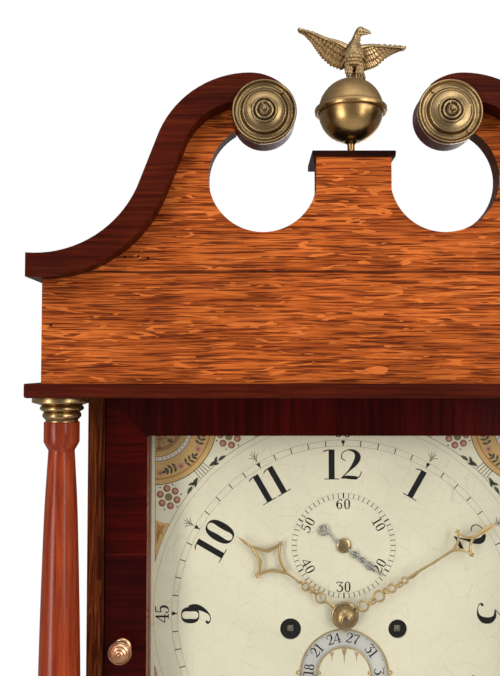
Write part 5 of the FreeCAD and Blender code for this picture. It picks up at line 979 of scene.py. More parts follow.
WEDGE_ORNAMENT = [(2.0, 84.5), (4.0, 87.5), (8.6, 86.4), (6.2, 91.0), (6.4, 95.0), (3.0, 93.0), (1.6, 103.0), (0.6, 96.0)]
deep = Corner()
deep.draw(arc(22.5, 3.4), 0.8)
deep.draw(arc(10, 2.2), 0.8)
deep.draw([(3.0, 0.5, 2.6), (3.0, 22.0, 2.6)], 0.8, True)
deep.draw(arc(47.5, 1.6), 0.8)
for angle in (22, 34, 56, 68):
    deep.draw([(*polar(reach, angle), width) for reach, width in ((11, 0.4), (16, 1.5), (21, 0.4))], 0.8)
deep.draw(WEDGE_ORNAMENT, 0.8, True)
deep.done("corner_shade", "deep ochre")

white = Corner()
white.draw(arc(sum(WHITE_BAND) / 2, WHITE_BAND[1] - WHITE_BAND[0]), 0.9)
white.done("corner_white", "white paint")

# %% Pen lines
BERRY_CENTRE = (11.3, 62.8)
pen = Corner()
for radius, width in ((WHITE_BAND[0], 0.4), (WHITE_BAND[1], 0.5), (FAN, 0.6), (14, 0.3)):
    pen.draw(arc(radius, width, 30), 1.3)
for u, v in quarter(30.6, 4, 86, 12):
    pen.draw(disc(u, v, 0.55, 8), 1.3)
for offset in (-5.0, -2.5, 0.0, 2.5, 5.0):
    pen.draw([(*polar(reach, 45 + offset * 1.1), 0.55) for reach in (52.6, 60.6)], 1.2)
for turn in range(0, 360, 60):
    spot = polar(11.0, turn + 48, *BERRY_CENTRE)
    if spot[0] > 0.6:
        pen.draw(disc(*spot, 0.7, 8), 1.3, True)
pen.done("corner_pen", "ink")

# %% Leaves
PAIRS = ((0.1, 64, 4.6), (0.42, 56, 5.0), (0.74, 46, 4.4))
FAN_LEAVES = ((12.0, 16.0, -60, 4.0, 1.6), (12.0, 16.0, -10, 4.0, 1.6), (12.0, 16.0, -110, 3.6, 1.5))
OUTER_LEAVES = ((36.5, 46.0, 124, 9.0, 3.2), (31.5, 53.5, 122, 8.0, 3.0), (34.5, 49.0, 92, 5.5, 2.6),
                (33.5, 50.5, 158, 6.0, 2.4))


def spray(u, v, way, long):
    """A stalk with three pairs of leaves and one at its tip."""
    shapes = [[(u, v, 0.35), (*polar(long, way, u, v), 0.3)], leaf(*polar(long * 0.9, way, u, v), way, 4.6, 2.4)]
    for share, spread, size in PAIRS:
        for side in (-1, 1):
            shapes.append(leaf(*polar(long * share, way, u, v), way + side * spread, size, 2.3))
    return shapes


green = Corner()
for shape in spray(36.6, 18.2, -66, 10.5):
    green.draw(shape, 1.1, True)
for shape in (*spray(25.5, 34.6, -40, 11.0), *(leaf(*spot) for spot in FAN_LEAVES)):
    green.draw(shape, 1.1)
for spot in OUTER_LEAVES:
    green.draw(leaf(*spot), 1.1, True)
green.done("corner_leaves", "leaf green")

# %% Berries and flowers
FLOWERS = ((31, 42.5), (5.5, 42.5))
berries = Corner()
lights = Corner()
for turn in range(0, 360, 60):
    u, v = polar(7.5, turn + 18, *BERRY_CENTRE)
    berries.draw(disc(u, v, 3.1), 1.0, True)
    lights.draw(disc(u + 0.3, v - 0.3, 1.6, 10), 1.2, True)
for angle, reach in FLOWERS:
    spot = polar(reach, angle)
    for turn in range(0, 360, 72):
        lights.draw(disc(*polar(2.0, turn, *spot), 1.5, 9), 1.0, True)
    berries.draw(disc(*spot, 1.2, 9), 1.25, True)
berries.done("corner_berries", "berry red")
lights.done("corner_petals", "pale pink")
olives = Corner()
olives.draw(disc(*BERRY_CENTRE, 3.3), 1.0, True)
olives.done("corner_olives", "olive berry")

# %% [markdown]
# ## The date ring
# A curved window shows the day of the month on a disc that turns behind the dial. Its edge is gilded,
# with a small pointer at the top, two ears and three drops. The numbers ride on the disc, not the dial.

# %% Numbers on the date disc
DATE = DIAL + Vector((0, 0, -51)) * MM
DATE_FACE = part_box("date_disc")[0].y
DAYS = {18: -84, 21: -50, 24: -16.5, 27: 15, 31: 51.5, 3: 88, 6: 126, 9: 163, 12: 200, 15: 238}
DAY_RING = 30 * MM
DOT_RING = 34.6 * MM
DOT = 0.5 * MM
days = Shape()
for day, angle in DAYS.items():
    write(days, str(day), 8.2 * MM, DAY_RING, angle, DATE_FACE, DATE, 0, 1.3, 0.8)
    for share in (1 / 3, 2 / 3):
        x, z = round_from(DATE, DOT_RING, angle + 34 * share + 8)
        days.patch([(x + DOT * math.cos(step), z + DOT * math.sin(step)) for step in range(6)], DATE_FACE, INK_DEPTH)
days.piece("date_numbers", "ink", "date", "dial_paint", 60)

# %% The gilt edge of its window
WINDOW_HALF = 97
# Each ear's points from the window's end, with their widths
EARS = (((38.0, 3.5, 1.2), (40.2, 2.4, 1.6), (39.8, 0.4, 1.2), (38.0, -0.4, 0.8)),
        ((22.2, 3.2, 1.0), (20.4, 1.6, 1.3), (20.8, -0.6, 0.8)))
edge = Shape()
for radius, width, steps in ((37.6, 1.3, 60), (22.4, 1.2, 50)):
    path = [(DATE.x + radius * MM * math.sin(turn), DATE.z + radius * MM * math.cos(turn), width * MM)
            for turn in turns_between(-WINDOW_HALF, WINDOW_HALF, steps)]
    edge.sweep(path, DIAL_FACE, 0.7 * MM, ROUND)
for side in (-1, 1):
    across = [(*round_from(DATE, radius * MM, WINDOW_HALF * side), 1.3 * MM) for radius in (22.2, 37.8)]
    edge.sweep(across, DIAL_FACE, 0.7 * MM, ROUND)
    for ear in EARS:
        path = [(DATE.x + side * u * MM, DATE.z + v * MM, width * MM) for u, v, width in ear]
        edge.sweep(eased(path, 5), DIAL_FACE, 0.6 * MM, ROUND)
for side in (-1, 1):
    notch = [(DATE.x + side * 4.2 * MM, DATE.z + 37.4 * MM, 1.2 * MM), (DATE.x, DATE.z + 34.4 * MM, 0.7 * MM)]
    edge.sweep(notch, DIAL_FACE, 0.6 * MM, ROUND)
edge.piece("date_window_edge", "gilt hands", "case", "dial_paint", 50)

# %% The three drops in the window's middle
DROPS = ((-10.5, 8.5, 1.6), (0, 12.5, 2.2), (10.5, 8.5, 1.6))
drops = Shape()
for x, long, wide in DROPS:
    top = math.sqrt(21.6**2 - x * x)
    for lean, share in ((-1.5, 0.45), (0, 1.0), (1.5, 0.45)):
        drop = [(x + lean, top, wide * 0.5), (x + lean * 0.8, top - long * share * 0.45, wide * 0.55),
                (x + lean * 0.2, top - long * share, 0.2)]
        drops.sweep(turned_by(eased(drop, 5), 0, DATE.x, DATE.z, MM), DIAL_FACE, INK_DEPTH * 1.5)
drops.piece("date_drops", "drop brown", "case", "dial_paint", 60)

# %% [markdown]
# ## The pierced hands
# The hands are cut from thin brass and filed round, in the pattern of the time: a chain of rings, an
# open four-sided head with hollow sides, and a fine tip. The frame already has their flat outline. A
# round section swept along each part of that outline gives the filed, rounded surface.


# %% Build one hand along its own axis
def hand_parts(rings, head, tip):
    """Lists are lines and tuples are rings; rings are (along, radius), head is (foot, corner, reach, top)."""
    along = rings[0][0] - rings[0][1]
    parts = [[(0, along - 8, 3.4), (0.4, along - 3, 2.2), (0, along, 3.0)]]
    for index, (place, radius) in enumerate(rings):
        parts.append(tuple(ring_path(0, place, radius - 0.7, 1.75, steps=26)))
        start, side = place + radius - 0.6, -1 if index % 2 else 1
        for following, next_radius in rings[index + 1:index + 2]:
            end = following - next_radius
            gap = end - start
            parts.append([(-0.4 * side, start - 0.6, 1.5), (1.5 * side, start + gap * 0.3, 1.9),
                          (-1.5 * side, start + gap * 0.75, 1.9), (0.4 * side, end + 0.8, 1.5)])
            parts.append([(1.0 * side, start, 1.2), (2.8 * side, start + gap * 0.5, 1.4),
                          (2.2 * side, start + gap * 1.1, 1.1)])
    foot, corner, reach, top = head
    length = foot - start
    parts.append([(0, start, 2.0), (0.5, start + length * 0.12, 3.2), (-0.3, start + length * 0.28, 2.0),
                  (0.3, start + length * 0.6, 1.7), (-0.2, start + length * 0.85, 1.8), (0, foot, 2.6)])
    for side in (-1, 1):
        parts.append([(0, foot - 0.5, 2.2), (side * reach * 0.3, foot + (corner - foot) * 0.5, 1.7),
                      (side * reach * 0.66, foot + (corner - foot) * 0.82, 1.6), (side * reach, corner, 1.9)])
        parts.append([(side * reach, corner, 1.9), (side * reach * 0.66, corner + (top - corner) * 0.14, 1.6),
                      (side * reach * 0.3, corner + (top - corner) * 0.42, 1.7), (0, top + 0.5, 2.4)])
        parts.append([(side * (reach - 0.6), corner, 1.8), (side * (reach + 1.0), corner, 2.5),
                      (side * (reach + 2.4), corner, 0.7)])
        parts.append([(side * (reach + 0.2), corner - 2.3, 0.7), (side * (reach + 0.4), corner, 1.9),
                      (side * (reach + 0.2), corner + 2.3, 0.7)])
    parts.append([(0, top, 2.8), (0, top + (tip - top) * 0.2, 1.7), (0, top + (tip - top) * 0.42, 2.7),
                  (0, top + (tip - top) * 0.7, 1.7), (0, tip, 0.35)])
    return parts


def filed(parts, angle, y, depth, centre=DIAL):
    """A hand's parts with a round section, turned to an angle in degrees from the top."""
    hand = Shape()
    for part in parts:
        closed = isinstance(part, tuple)
        path = turned_by(part if closed else eased(part, 6), angle, centre.x, centre.z, MM)
        hand.sweep(path, y, depth, ROUND, closed)
    return hand


# %% The hour and minute hands
HOUR_TURN = -54
MINUTE_TURN = 58.6
HALF_BLADE = 0.6 * MM
HOUR_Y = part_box("hour_hand")[0].y + HALF_BLADE
MINUTE_Y = -38 * MM + HALF_BLADE
HOUR_PARTS = hand_parts(((25.0, 5.0), (40.7, 3.9)), (59.9, 79, 16.6, 97.0), 111)
MINUTE_PARTS = hand_parts(((17.8, 5.0), (33.2, 5.0), (45.9, 3.9), (58.4, 3.2)), (106.7, 117.8, 11.0, 127.6), 151)

hour_hand = filed(HOUR_PARTS, HOUR_TURN, HOUR_Y, 1.0 * MM)
hour_hand.piece("hour_hand_relief", "gilt hands", "hour", "gilt_brass", 50)
minute_hand = filed(MINUTE_PARTS, MINUTE_TURN, MINUTE_Y, 1.0 * MM)
minute_hand.piece("minute_hand_relief", "gilt hands", "centre", "gilt_brass", 50)

# %% The seconds hand
SECOND_TURN = 127.5
SECOND_PARTS = (
    [(0, 5, 2.4), (0.8, 9, 1.5), (-0.8, 13, 1.7), (0.7, 17, 1.5), (-0.6, 21, 1.7), (0.5, 25, 1.5),
     (0, 29, 2.2), (0, 34, 1.4), (0, 41.8, 0.4)],
    tuple(ring_path(0, 12, 2.6, 1.2, steps=18)),
    tuple(ring_path(0, 19.5, 2.2, 1.1, steps=18)),
    tuple(ring_path(0, 27.5, 2.9, 1.1, 3.6, steps=18)),
    [(0, -5, 2.2), (0.9, -9.5, 1.6), (-0.9, -14, 1.6), (0, -18, 1.8)],
    tuple(ring_path(0, -21.6, 4.0, 1.5, steps=22)),
    [(-2.6, -24, 1.0), (0, -20.5, 1.3), (2.6, -24, 1.0)],
)
seconds_hand = filed(SECOND_PARTS, SECOND_TURN, middle("seconds_hand").y, 0.62 * MM, SECONDS_CENTRE)
seconds_hand.piece("filed_seconds_hand", "steel", "seconds", "steel", 50, "seconds_hand")

# %% [markdown]
# ## Turned work
# Knobs, columns, capitals and rosettes come off a lathe, so each is a profile carried round an axis.
# A smooth profile makes the highlights run clean, which a few flat cuts can't do. Each profile starts
# and ends on its axis, so the solid is closed.

# %% A lathe
LATHE_SMOOTH = 38


def turn_solid(shape, profile, place, steps=96, waver=0.0, upright=False):
    """Turns (radius, height) in millimetres round an axis that points to the front, or up."""
    rows = []
    for number, (radius, height) in enumerate(profile):
        row = []
        for step in range(steps):
            turn = math.tau * step / steps
            drift = 1 + waver * noise.noise(Vector((math.cos(turn), math.sin(turn), number * 0.05)) * 1.7)
            across, other = radius * drift * math.cos(turn), radius * drift * math.sin(turn)
            row.append(Vector((across, other, height) if upright else (across, -height, other)) * MM + place)
        rows.append(row)
    shape.skin(rows, capped=False)


def lathe(name, profile, place, finish, body, slot, steps=96, waver=0.0, upright=False, replaced=None):
    """One turned solid as a piece of its own."""
    shape = Shape()
    turn_solid(shape, profile, place, steps, waver, upright)
    return shape.piece(name, finish, body, slot, LATHE_SMOOTH, replaced)


def rounded(*stops):
    """A profile through stops; a stop with a third value is a sharp corner there."""
    runs = [[]]
    for stop in stops:
        runs[-1].append(stop[:2])
        if len(stop) > 2:
            runs.append([stop[:2]])
    profile = []
    for run in runs:
        part = eased(run, 5)
        profile.extend(part if not profile else part[1:])
    return profile


# %% Columns with their brass capitals and bases
S = "sharp"
SHAFT = rounded((0, 0, S), (16.6, 0, S), (16.6, 20), (16.6, 49), (16.5, 90), (16.1, 150), (15.2, 200), (13.9, 250),
                (12.6, 290), (11.0, 320), (10.1, 335, S), (10.6, 336.2), (12.0, 338.5), (13.4, 341.2, S),
                (13.8, 342, S), (13.8, 357.0, S), (13.3, 357.6, S), (0, 357.6))
CAPITAL = rounded((0, 0, S), (12.4, 0, S), (12.6, 1.4), (13.6, 2.6), (14.9, 4.4), (14.6, 6.6), (13.6, 7.6, S),
                  (14.6, 8.2), (16.8, 9.8), (16.6, 11.6), (15.4, 12.6, S), (16.6, 13.2), (19.6, 14.2), (21.6, 14.8, S),
                  (22.9, 15.4), (23.0, 17.6), (22.8, 19.3, S), (0, 19.4))
COLUMN_BASE = rounded((0, 0, S), (22.8, 0, S), (23, 1.5), (23, 4.5), (22.2, 5.8, S), (20.4, 6.6), (20.0, 7.6, S),
                      (21.0, 8.2), (21.4, 10.2), (20.2, 12.2, S), (18.6, 12.8), (18.0, 14.6), (17.9, 17.2, S),
                      (17.4, 18, S), (0, 18))
COLUMN_X = 228 * MM
column_low, column_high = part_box("hood_columns")
COLUMN_Y = (column_low.y + column_high.y) / 2
shafts = Shape()
mounts = Shape()
for side in (-1, 1):
    for shape, profile, level in ((shafts, SHAFT, column_low.z), (mounts, COLUMN_BASE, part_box("column_mounts")[0].z),
                                  (mounts, CAPITAL, column_high.z)):
        turn_solid(shape, profile, Vector((side * COLUMN_X, COLUMN_Y, level)), upright=True)
shafts.piece("column_shafts", "turned wood", "hood", "turned_wood", LATHE_SMOOTH, "hood_columns")
mounts.piece("capitals_and_bases", "mount brass", "hood", "brass", LATHE_SMOOTH, "column_mounts")

# %% Rosettes, hammered slightly out of round, each held by two pins
ROSETTE = rounded((0, 0, S), (24.2, 0, S), (24.4, 1.6), (24.2, 3.8), (23.4, 4.9), (22.5, 4.4), (21.9, 3.0), (20.6, 2.0),
                  (19.0, 1.8), (17.6, 2.5), (16.9, 4.0, S), (16.3, 5.5), (15.5, 5.9), (14.9, 5.3, S), (13.0, 5.5),
                  (11.2, 6.0), (10.0, 6.4, S), (9.6, 7.4), (8.8, 7.7), (8.2, 7.3, S), (7.2, 7.3, S), (6.8, 8.0),
                  (5.9, 8.4), (5.2, 8.0, S), (4.2, 8.1, S), (3.6, 8.8), (2.9, 9.6, S), (2.2, 10.0), (1.9, 11.4),
                  (1.1, 12.2), (0, 12.4))
PIN_HEAD = rounded((0, 0, S), (1.25, 0, S), (1.2, 0.7), (0.8, 1.2), (0, 1.35))
ROSETTE_X = 69.4 * MM
PIN_PLACES = {-1: ((-12.2, -16.6), (13.6, 14.8)), 1: ((-12.8, 15.6), (13.6, -14.8))}
discs = Shape()
for side in (-1, 1):
    back = Vector((side * ROSETTE_X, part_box("rosettes")[1].y, middle("rosettes").z))
    turn_solid(discs, ROSETTE, back, 120, 0.012)
    for x, z in PIN_PLACES[side]:
        turn_solid(discs, PIN_HEAD, back + Vector((x, -2.0, z)) * MM, 16)
discs.piece("turned_rosettes", "old brass", "hood", "brass", LATHE_SMOOTH, "rosettes")

# %% [markdown]
# **The cornice.** On the clock it is a thin mahogany board that goes round the front and both sides
# under the frieze. In the photograph its edge is straight, with only the corners eased. Here one
# profile is carried round the two front corners, because a mitred board has the same profile on
# all three sides. The piece stays inside the box of the solid moulding.

# %% The cornice, a plain board whose corners are eased by wear
NOSE_REACH = 10
NOSE = rounded((0, 0, S), (8.2, 0, S), (9.4, 0.5), (10, 1.8, S), (10, 10.4, S), (9.4, 11, S), (0, 11, S))[:-1]
cornice_low, cornice_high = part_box("cornice_moulding")
inner_x = cornice_high.x - NOSE_REACH * MM
inner_y = cornice_low.y + NOSE_REACH * MM
stops = []
for side, at_back in ((-1, True), (-1, False), (1, False), (1, True)):
    stops.append([(side * (inner_x + out * MM), cornice_high.y if at_back else inner_y - out * MM,
                   cornice_low.z + up * MM) for out, up in NOSE])
cornice = Shape()
cornice.skin(stops)
cornice.piece("cornice_board", "mahogany, grain level", "hood", "mahogany", 30, "cornice_moulding")

# %% The door's knob, with rings cut in its face
KNOB = rounded((0, 0, S), (7.4, 0, S), (7.5, 1.2), (7.0, 2.2), (4.6, 3.4), (3.6, 5.2), (3.7, 8.0), (5.4, 10.0),
               (8.6, 11.4), (9.35, 12.6), (9.2, 13.8), (8.4, 14.8, S), (8.0, 14.4, S), (7.7, 15.0, S), (6.2, 15.8, S),
               (5.8, 15.4, S), (5.5, 16.1, S), (4.0, 16.9, S), (3.6, 16.5, S), (3.3, 17.2, S), (2.0, 17.9, S),
               (1.7, 17.5, S), (1.3, 18.2), (0.8, 18.7), (0, 18.8))
knob_middle = middle("hood_door_knob")
knob_back = Vector((knob_middle.x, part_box("hood_door_knob")[1].y, knob_middle.z))
lathe("turned_knob", KNOB, knob_back, "knob brass", "hood_door", "brass", 72, replaced="hood_door_knob")

# %% The collar, nut and hub that hold the hands
COLLAR = rounded((0, 0, S), (10.6, 0, S), (11.6, 0.5), (11.4, 1.4), (10.4, 1.9, S), (0, 1.9))
NUT = rounded((0, 0, S), (9.0, 0, S), (9.6, 0.5), (9.2, 1.1, S), (8.3, 1.2, S), (8.0, 2.2), (6.9, 3.5), (5.6, 4.1, S),
              (5.0, 4.0, S), (4.9, 4.7), (3.6, 6.0), (1.8, 6.5), (0, 6.6))
SECOND_HUB = rounded((0, 0, S), (5.8, 0, S), (6.2, 0.25), (5.6, 0.8), (4.0, 1.25), (2.0, 1.45), (0, 1.5))
collar_place = Vector((DIAL.x, HOUR_Y - HALF_BLADE * 0.6, DIAL.z))
nut_place = Vector((DIAL.x, MINUTE_Y - HALF_BLADE * 0.5, DIAL.z))
hub_place = Vector((SECONDS_CENTRE.x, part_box("seconds_hand")[1].y, SECONDS_CENTRE.z))
lathe("hour_collar", COLLAR, collar_place, "old brass", "hour", "gilt_brass", 64)
lathe("hand_nut", NUT, nut_place, "old brass", "centre", "gilt_brass", 64)
lathe("seconds_hub", SECOND_HUB, hub_place, "old brass", "seconds", "steel", 48)

# %% [markdown]
# ## The brass ball and its eagle
# The ball is two spun halves joined at a ring. Its lower half is polished, and its upper half is satin.
# The eagle above is a casting with chased feathers. Each feather is a small ridged blade that swells
# and comes to a point, laid in rows like tiles, so every row's tips catch the light.

# %% The ball
BALL_FOOT = Vector((0, -87 * MM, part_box("finial")[0].z))
BALL_RADIUS = 25.6
BALL_CENTRE = 36.4
BALL_WAVER = 0.004


def ball_arc(start, end, steps=16):
    return [(BALL_RADIUS * math.cos(turn), BALL_CENTRE + BALL_RADIUS * math.sin(turn))
            for turn in turns_between(start, end, steps)]


LOWER_HALF = [*rounded((0, 0, S), (5.8, 0, S), (5.7, 0.7), (4.3, 1.8), (3.2, 3.8), (2.9, 7.2), (3.3, 9.8),
                       (5.6, 11.5, S)), *ball_arc(-77, -5), *rounded((27.4, 34.0), (28.4, 34.8), (28.5, 36.4, S)),
              (0, 36.4)]
UPPER_HALF = [(0, 36.5), *rounded((28.5, 36.5), (28.4, 38.0), (27.4, 38.8), (25.6, 38.8, S)), *ball_arc(5.5, 90, 20)]
lathe("ball_lower", LOWER_HALF, BALL_FOOT, "ball brass", "hood", "brass", 112, BALL_WAVER, True, "finial")
lathe("ball_upper", UPPER_HALF, BALL_FOOT, "satin brass", "hood", "brass", 112, BALL_WAVER, True)

# %% Limbs and feathers
RIDGED = [(-1, 0), (-0.5, 0.55), (0, 1), (0.5, 0.55), (1, 0), (0, -0.5)]
BLADE = ((0, 0.6), (0.3, 0.95), (0.6, 1.0), (0.85, 0.82), (1, 0.3))


def limb(shape, path, sides=18):
    """A rounded solid along points of x, z, width, y and depth, in millimetres."""
    path = eased(path, 5)
    rows = []
    for index, (x, z, width, y, depth) in enumerate(path):
        last, following = path[max(index - 1, 0)], path[min(index + 1, len(path) - 1)]
        way = Vector((following[0] - last[0], following[1] - last[1])).normalized()
        row = []
        for step in range(sides):
            turn = math.tau * step / sides
            side, out = math.cos(turn) * width / 2, math.sin(turn) * depth / 2
            row.append(((x + way.y * side) * MM, (y - out) * MM, (z - way.x * side) * MM))
        rows.append(row)
    shape.skin(rows)


def feather(shape, x, z, y, angle, length, width, curl=0.0):
    """One feather from its root; the angle is measured from straight down towards +x."""
    path = []
    for share, swell in BLADE:
        turn = math.radians(angle + curl * share)
        path.append(((x + math.sin(turn) * length * share) * MM, (z - math.cos(turn) * length * share) * MM,
                     width * swell * MM))
    shape.sweep(eased(path, 3), y * MM, width * 0.34 * MM, RIDGED)


def mixed(one, two, share):
    return [a + (b - a) * share for a, b in zip(one, two)]


def along_line(points, share):
    """The place at a share of a line through points, with each span counted the same."""
    spot = share * (len(points) - 1)
    index = min(int(spot), len(points) - 2)
    return mixed(points[index], points[index + 1], spot - index)


# %% Wings, each with four rows of feathers
WINGS = {
    -1: ([(-3.5, 2244.5), (-9.7, 2248.4), (-19.6, 2252.0), (-30.2, 2257.4), (-40.2, 2260.4)],
         [(-5.5, 2227.5), (-13.5, 2230.5), (-20.5, 2236.4), (-25.6, 2243.0), (-29.6, 2249.0), (-35.4, 2255.0),
          (-40.6, 2259.4)]),
    1: ([(8.0, 2244.0), (13.0, 2245.4), (18.1, 2246.4), (31.3, 2245.9), (42.8, 2245.4)],
        [(9.5, 2226.7), (15.0, 2228.4), (20.1, 2230.8), (28.0, 2236.9), (36.0, 2241.2), (40.5, 2243.4),
         (43.6, 2244.6)]),
}
# Each row's reach, number of feathers, width and how far it lies forward
FEATHER_ROWS = ((1.0, 19, 5.2, 0.0), (0.68, 14, 4.3, 1.2), (0.42, 13, 3.9, 2.3), (0.2, 12, 3.4, 3.2))
bird = Shape()
for side, (upper, lower) in WINGS.items():
    limb(bird, [(x, z - 1.4, 4.6 - 0.8 * index, -89.0 + index, 4.8 - 0.8 * index)
                for index, (x, z) in enumerate(upper)], 14)
    inner = [along_line(upper, step / 6) for step in range(7)]
    outer = [along_line(lower, step / 6) for step in range(7)]
    membrane = [*inner, *reversed([mixed(*pair, 0.62) for pair in zip(inner, outer)])]
    bird.patch([(x * MM, z * MM) for x, z in membrane], -84.2 * MM, 1.2 * MM)
    for row, (reach, count, wide, forward) in enumerate(FEATHER_ROWS):
        for number in range(count):
            share = (number + 0.5 * (row % 2)) / (count - 0.5)
            root, tip = Vector(along_line(upper, share)), Vector(along_line(lower, share))
            drop = tip - root
            angle = math.degrees(math.atan2(drop.x, -drop.y))
            start = 0.0 if row == 3 else max(reach - 0.66, 0.05)
            long = max(drop.length * (reach - start + 0.1), 2.2)
            foot = root + drop * start
            y = -85.6 - forward + 3.6 * share
            feather(bird, foot.x, foot.y, y, angle, long, wide * (1 - 0.35 * share), side * 10)

# %% Body, head, legs and tail
BODY = [(2.0, 2227, 8, -86, 8), (1.6, 2230.5, 13, -87, 12), (2.0, 2236, 15.4, -88, 14), (2.4, 2241, 13.6, -88, 12.6),
        (2.7, 2244.6, 10.4, -88, 10), (3.5, 2247.6, 7.4, -88, 7.8), (4.2, 2250.4, 5.9, -88, 6.6),
        (5.4, 2253.2, 5.8, -88, 6.4), (7.2, 2255.8, 6.8, -88, 6.8), (8.9, 2257.6, 5.8, -88, 6.0),
        (10.2, 2258.6, 2.0, -88, 2.4)]
BEAK = [(8.6, 2256.4, 5.0, -88.4, 4.8), (11.0, 2256.1, 4.3, -88.6, 3.6), (13.2, 2255.6, 3.3, -88.8, 2.4),
        (15.0, 2254.9, 2.2, -88.8, 1.6), (15.9, 2253.6, 0.7, -88.8, 0.7)]
LOWER_BEAK = [(8.8, 2254.6, 2.6, -88.6, 3.0), (11.4, 2254.0, 1.8, -88.8, 2.0), (13.8, 2253.6, 0.6, -88.8, 0.9)]
EYE = [(9.2, 2257.0, 0.4, -91.0, 0.8), (9.6, 2257.0, 1.2, -91.2, 1.4), (10.0, 2257.0, 0.4, -91.0, 0.8)]
for path, sides in ((BODY, 22), (BEAK, 12), (LOWER_BEAK, 10), (EYE, 10)):
    limb(bird, path, sides)
for row in range(11):
    level = 2255.4 - row * 2.4
    under = max(index for index, point in enumerate(BODY) if point[1] <= level)
    below, above = BODY[under], BODY[under + 1]
    centre_x, _, wide, centre_y, deep = mixed(below, above, (level - below[1]) / (above[1] - below[1]))
    count = 4 if wide < 8 else 7
    for number in range(count):
        across = (number + 0.5 * (row % 2) - (count - 1) / 2 - 0.25) / (count / 2)
        if abs(across) > 0.85:
            continue
        front = centre_y - deep / 2 * math.sqrt(1 - across * across) * 0.92
        feather(bird, centre_x + across * wide / 2, level, front, across * 16, 3.8, wide / count * 1.5)
FOOT_Z = 2218.6
for x in (-2.2, 6.4):
    limb(bird, [(x * 0.9 + 0.4, 2231.5, 6.8, -88, 7), (x, 2226.5, 6.2, -88.6, 6.6), (x * 1.02, 2222, 3.8, -88.6, 4.4),
                (x, FOOT_Z + 0.6, 2.6, -88.6, 3.0)], 14)
    for row in range(3):
        for number in range(3):
            across = (number - 1 + 0.3 * (row % 2)) * 0.6
            feather(bird, x + across * 2.6, 2230.4 - row * 2.9, -91.6 - 0.3 * row + abs(across), across * 14, 4.2, 2.3)
    for toe in (-1.9, 0, 1.9):
        limb(bird, [(x, FOOT_Z + 1.2, 1.8, -88.8, 2.0), (x + toe * 0.7, FOOT_Z + 0.5, 1.6, -91, 1.8),
                    (x + toe, FOOT_Z - 0.6, 0.8, -92.6, 1.0)], 8)
for number in range(5):
    feather(bird, 4.6 + number * 0.7, 2232, -81.5 - number % 2 * 0.8, -12 + number * 8, 13.6, 3.8)
bird.piece("eagle", "cast brass", "hood", "brass", 32)

# %% [markdown]
# ## Nails and winding squares
# Small dark nail heads show where the front was fixed from outside. Behind each winding hole stands a black
# tube, painted shade that keeps the hole dark, with the end of the barrel's square arbor deep inside it.

# %% Nail heads in the oak front
NAIL = rounded((0, -1.0, S), (0.95, -1.0, S), (0.95, 0.05), (0.7, 0.22), (0, 0.26))
NAILS = ((-232.1, 2021.5), (-175.9, 2073.7), (-165.9, 2074.1), (-158.2, 2072.9), (212, 2019.4), (168.4, 2074.5))
heads = Shape()
for x, z in NAILS:
    turn_solid(heads, NAIL, Vector((x * MM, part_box("tympanum_board")[0].y, z * MM)), 20)
heads.piece("nail_heads", "ink", "hood", "iron", LATHE_SMOOTH)

# %% Black tubes of painted shade behind the winding holes, and the squares
BARRELS = {"strike_barrel": -1, "going_barrel": 1}
BARREL_X = 45.5 * MM
BARREL_Z = DIAL.z - 13 * MM
SQUARE = ((-1, -1), (1, -1), (1, 1), (-1, 1))
SHADE_TUBE = [(4.6, 0), (8.8, 0), (8.8, 5.0), (4.6, 5.0), (4.6, 0)]
# Half the width of the arbor's square and how far it stands forward, up to its chamfered end
SQUARE_END = ((2.3, -1.2), (2.3, 0.1), (1.8, 0.55))
for body, side in BARRELS.items():
    hole = Vector((side * BARREL_X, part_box("dial_plate")[1].y + 5.4 * MM, BARREL_Z))
    # A black tube from the dial's back: painted shade inside the winding hole.
    lathe(f"shade_tube_{side}", SHADE_TUBE, hole, "ink", "case", "dark_board", 40)
    arbor = Shape()
    arbor.skin([[(hole.x + x * half * MM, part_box(body)[0].y - forward * MM, hole.z + z * half * MM) for x, z in SQUARE]
                for half, forward in SQUARE_END])
    arbor.piece(f"arbor_end_{side}", "iron", body, "iron", 20)

# %% [markdown]
# ## Lines, pulleys and windings
# Each weight hangs in a bight of gut line, and as the weight rises its line grows shorter. Here the straight
# runs stay on the case, and the bend round the pulley rides with the weight. The turns on the barrel are
# one helix, which a Geometry Nodes tree makes from a radius, a pitch and a count.

# %% Straight runs and bends
GUT_WIDTH = 2.5 * MM
for name in ("going", "strike"):
    low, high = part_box(name + "_line")
    level = middle(name + "_pulley").z
    line_y = (low.y + high.y) / 2
    ends = (low.x + GUT_WIDTH / 2, high.x - GUT_WIDTH / 2)
    runs = Shape()
    for x in ends:
        path = [(x, level + (high.z - level) * step / 30, GUT_WIDTH) for step in range(31)]
        runs.sweep(path, line_y, GUT_WIDTH / 2, ROUND)
    run = runs.piece(name + "_runs", "gut line", "case", "gut", 60, name + "_line")
    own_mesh(run)
    middle_x, reach = sum(ends) / 2, (ends[1] - ends[0]) / 2
    bend = Shape()
    bend.sweep([(middle_x + reach * math.cos(turn), level - reach * math.sin(turn), GUT_WIDTH)
                for turn in turns_between(0, 180, 24)], line_y, GUT_WIDTH / 2, ROUND)
    bend.piece(name + "_bend", "gut line", name + "_weight", "gut", 60)


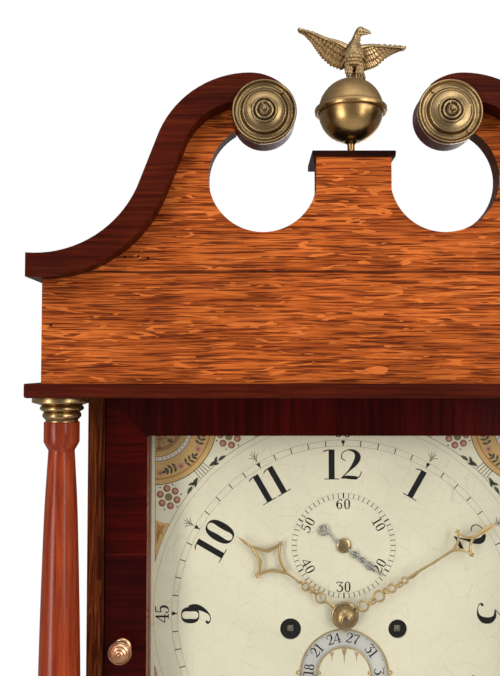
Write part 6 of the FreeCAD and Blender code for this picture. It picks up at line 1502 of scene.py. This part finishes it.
# %% The winding tree
def winding_tree():
    tree, given, out = new_group(
        "line wound on a drum",
        {"Turns": "Float", "Radius": "Float", "Length": "Float", "Thickness": "Float", "Place": "Vector",
         "Material": "Material"},
        {"Geometry": "Geometry"}, "Geometry",
    )
    radius = given["Radius"]
    helix = add(tree, "GeometryNodeCurveSpiral", {"Resolution": 40, "Rotations": given["Turns"], "Start Radius": radius,
                                                  "End Radius": radius, "Height": given["Length"]})
    ring = add(tree, "GeometryNodeCurvePrimitiveCircle", {"Resolution": 8, "Radius": given["Thickness"]})
    tube = add(tree, "GeometryNodeCurveToMesh",
               {"Curve": helix.outputs[0], "Profile Curve": ring.outputs[0], "Fill Caps": True})
    laid = add(tree, "GeometryNodeTransform", {"Geometry": tube.outputs[0], "Rotation": (-math.pi / 2, 0, 0),
                                               "Translation": given["Place"]})
    smooth = add(tree, "GeometryNodeSetShadeSmooth", {"Geometry": laid.outputs[0]})
    return end_tree(tree, smooth, given, out)


# %% Wind the barrels
WINDING = winding_tree()
DRUM_RADIUS = 22.75 * MM
NEAR = 0.05 * MM
for body, side in BARRELS.items():
    axis_x = side * BARREL_X
    depths = [point.co.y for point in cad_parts[body].data.vertices
              if abs(math.hypot(point.co.x - axis_x, point.co.z - BARREL_Z) - DRUM_RADIUS) < NEAR]
    start, end = min(depths), max(depths)
    margin = 2 * GUT_WIDTH
    grown(body + "_winding", WINDING, body, "gut", Turns=11.0, Radius=DRUM_RADIUS + GUT_WIDTH / 2,
          Length=end - start - 2 * margin, Thickness=GUT_WIDTH / 2, Place=(axis_x, start + margin, BARREL_Z),
          Material=finishes["gut line"])
    print(body, "drum from", round(start / MM, 1), "to", round(end / MM, 1), "mm")

# %% [markdown]
# ## The floor
# A wide pale floor carries the clock. It isn't part of it.

# %% Floor
FLOOR_REACH = 3.4
floor_mesh = bpy.data.meshes.new("floor")
floor_mesh.from_pydata([Vector((x, y, 0)) * FLOOR_REACH for x, y in SQUARE], [], [(0, 1, 2, 3)])
floor = new_object("floor", floor_mesh)
floor_tree, floor_shader, floor_place = new_finish("pale floor")
floor_cloud = streaks(floor_tree, floor_place, (3.0, 3.0, 3.0))
floor_tone = blend(floor_tree, floor_cloud, srgb(226, 225, 222), srgb(234, 233, 231))
fill(floor_tree, floor_shader.inputs, {"Base Color": floor_tone, "Roughness": 0.7})
floor_mesh.materials.append(finishes["pale floor"])
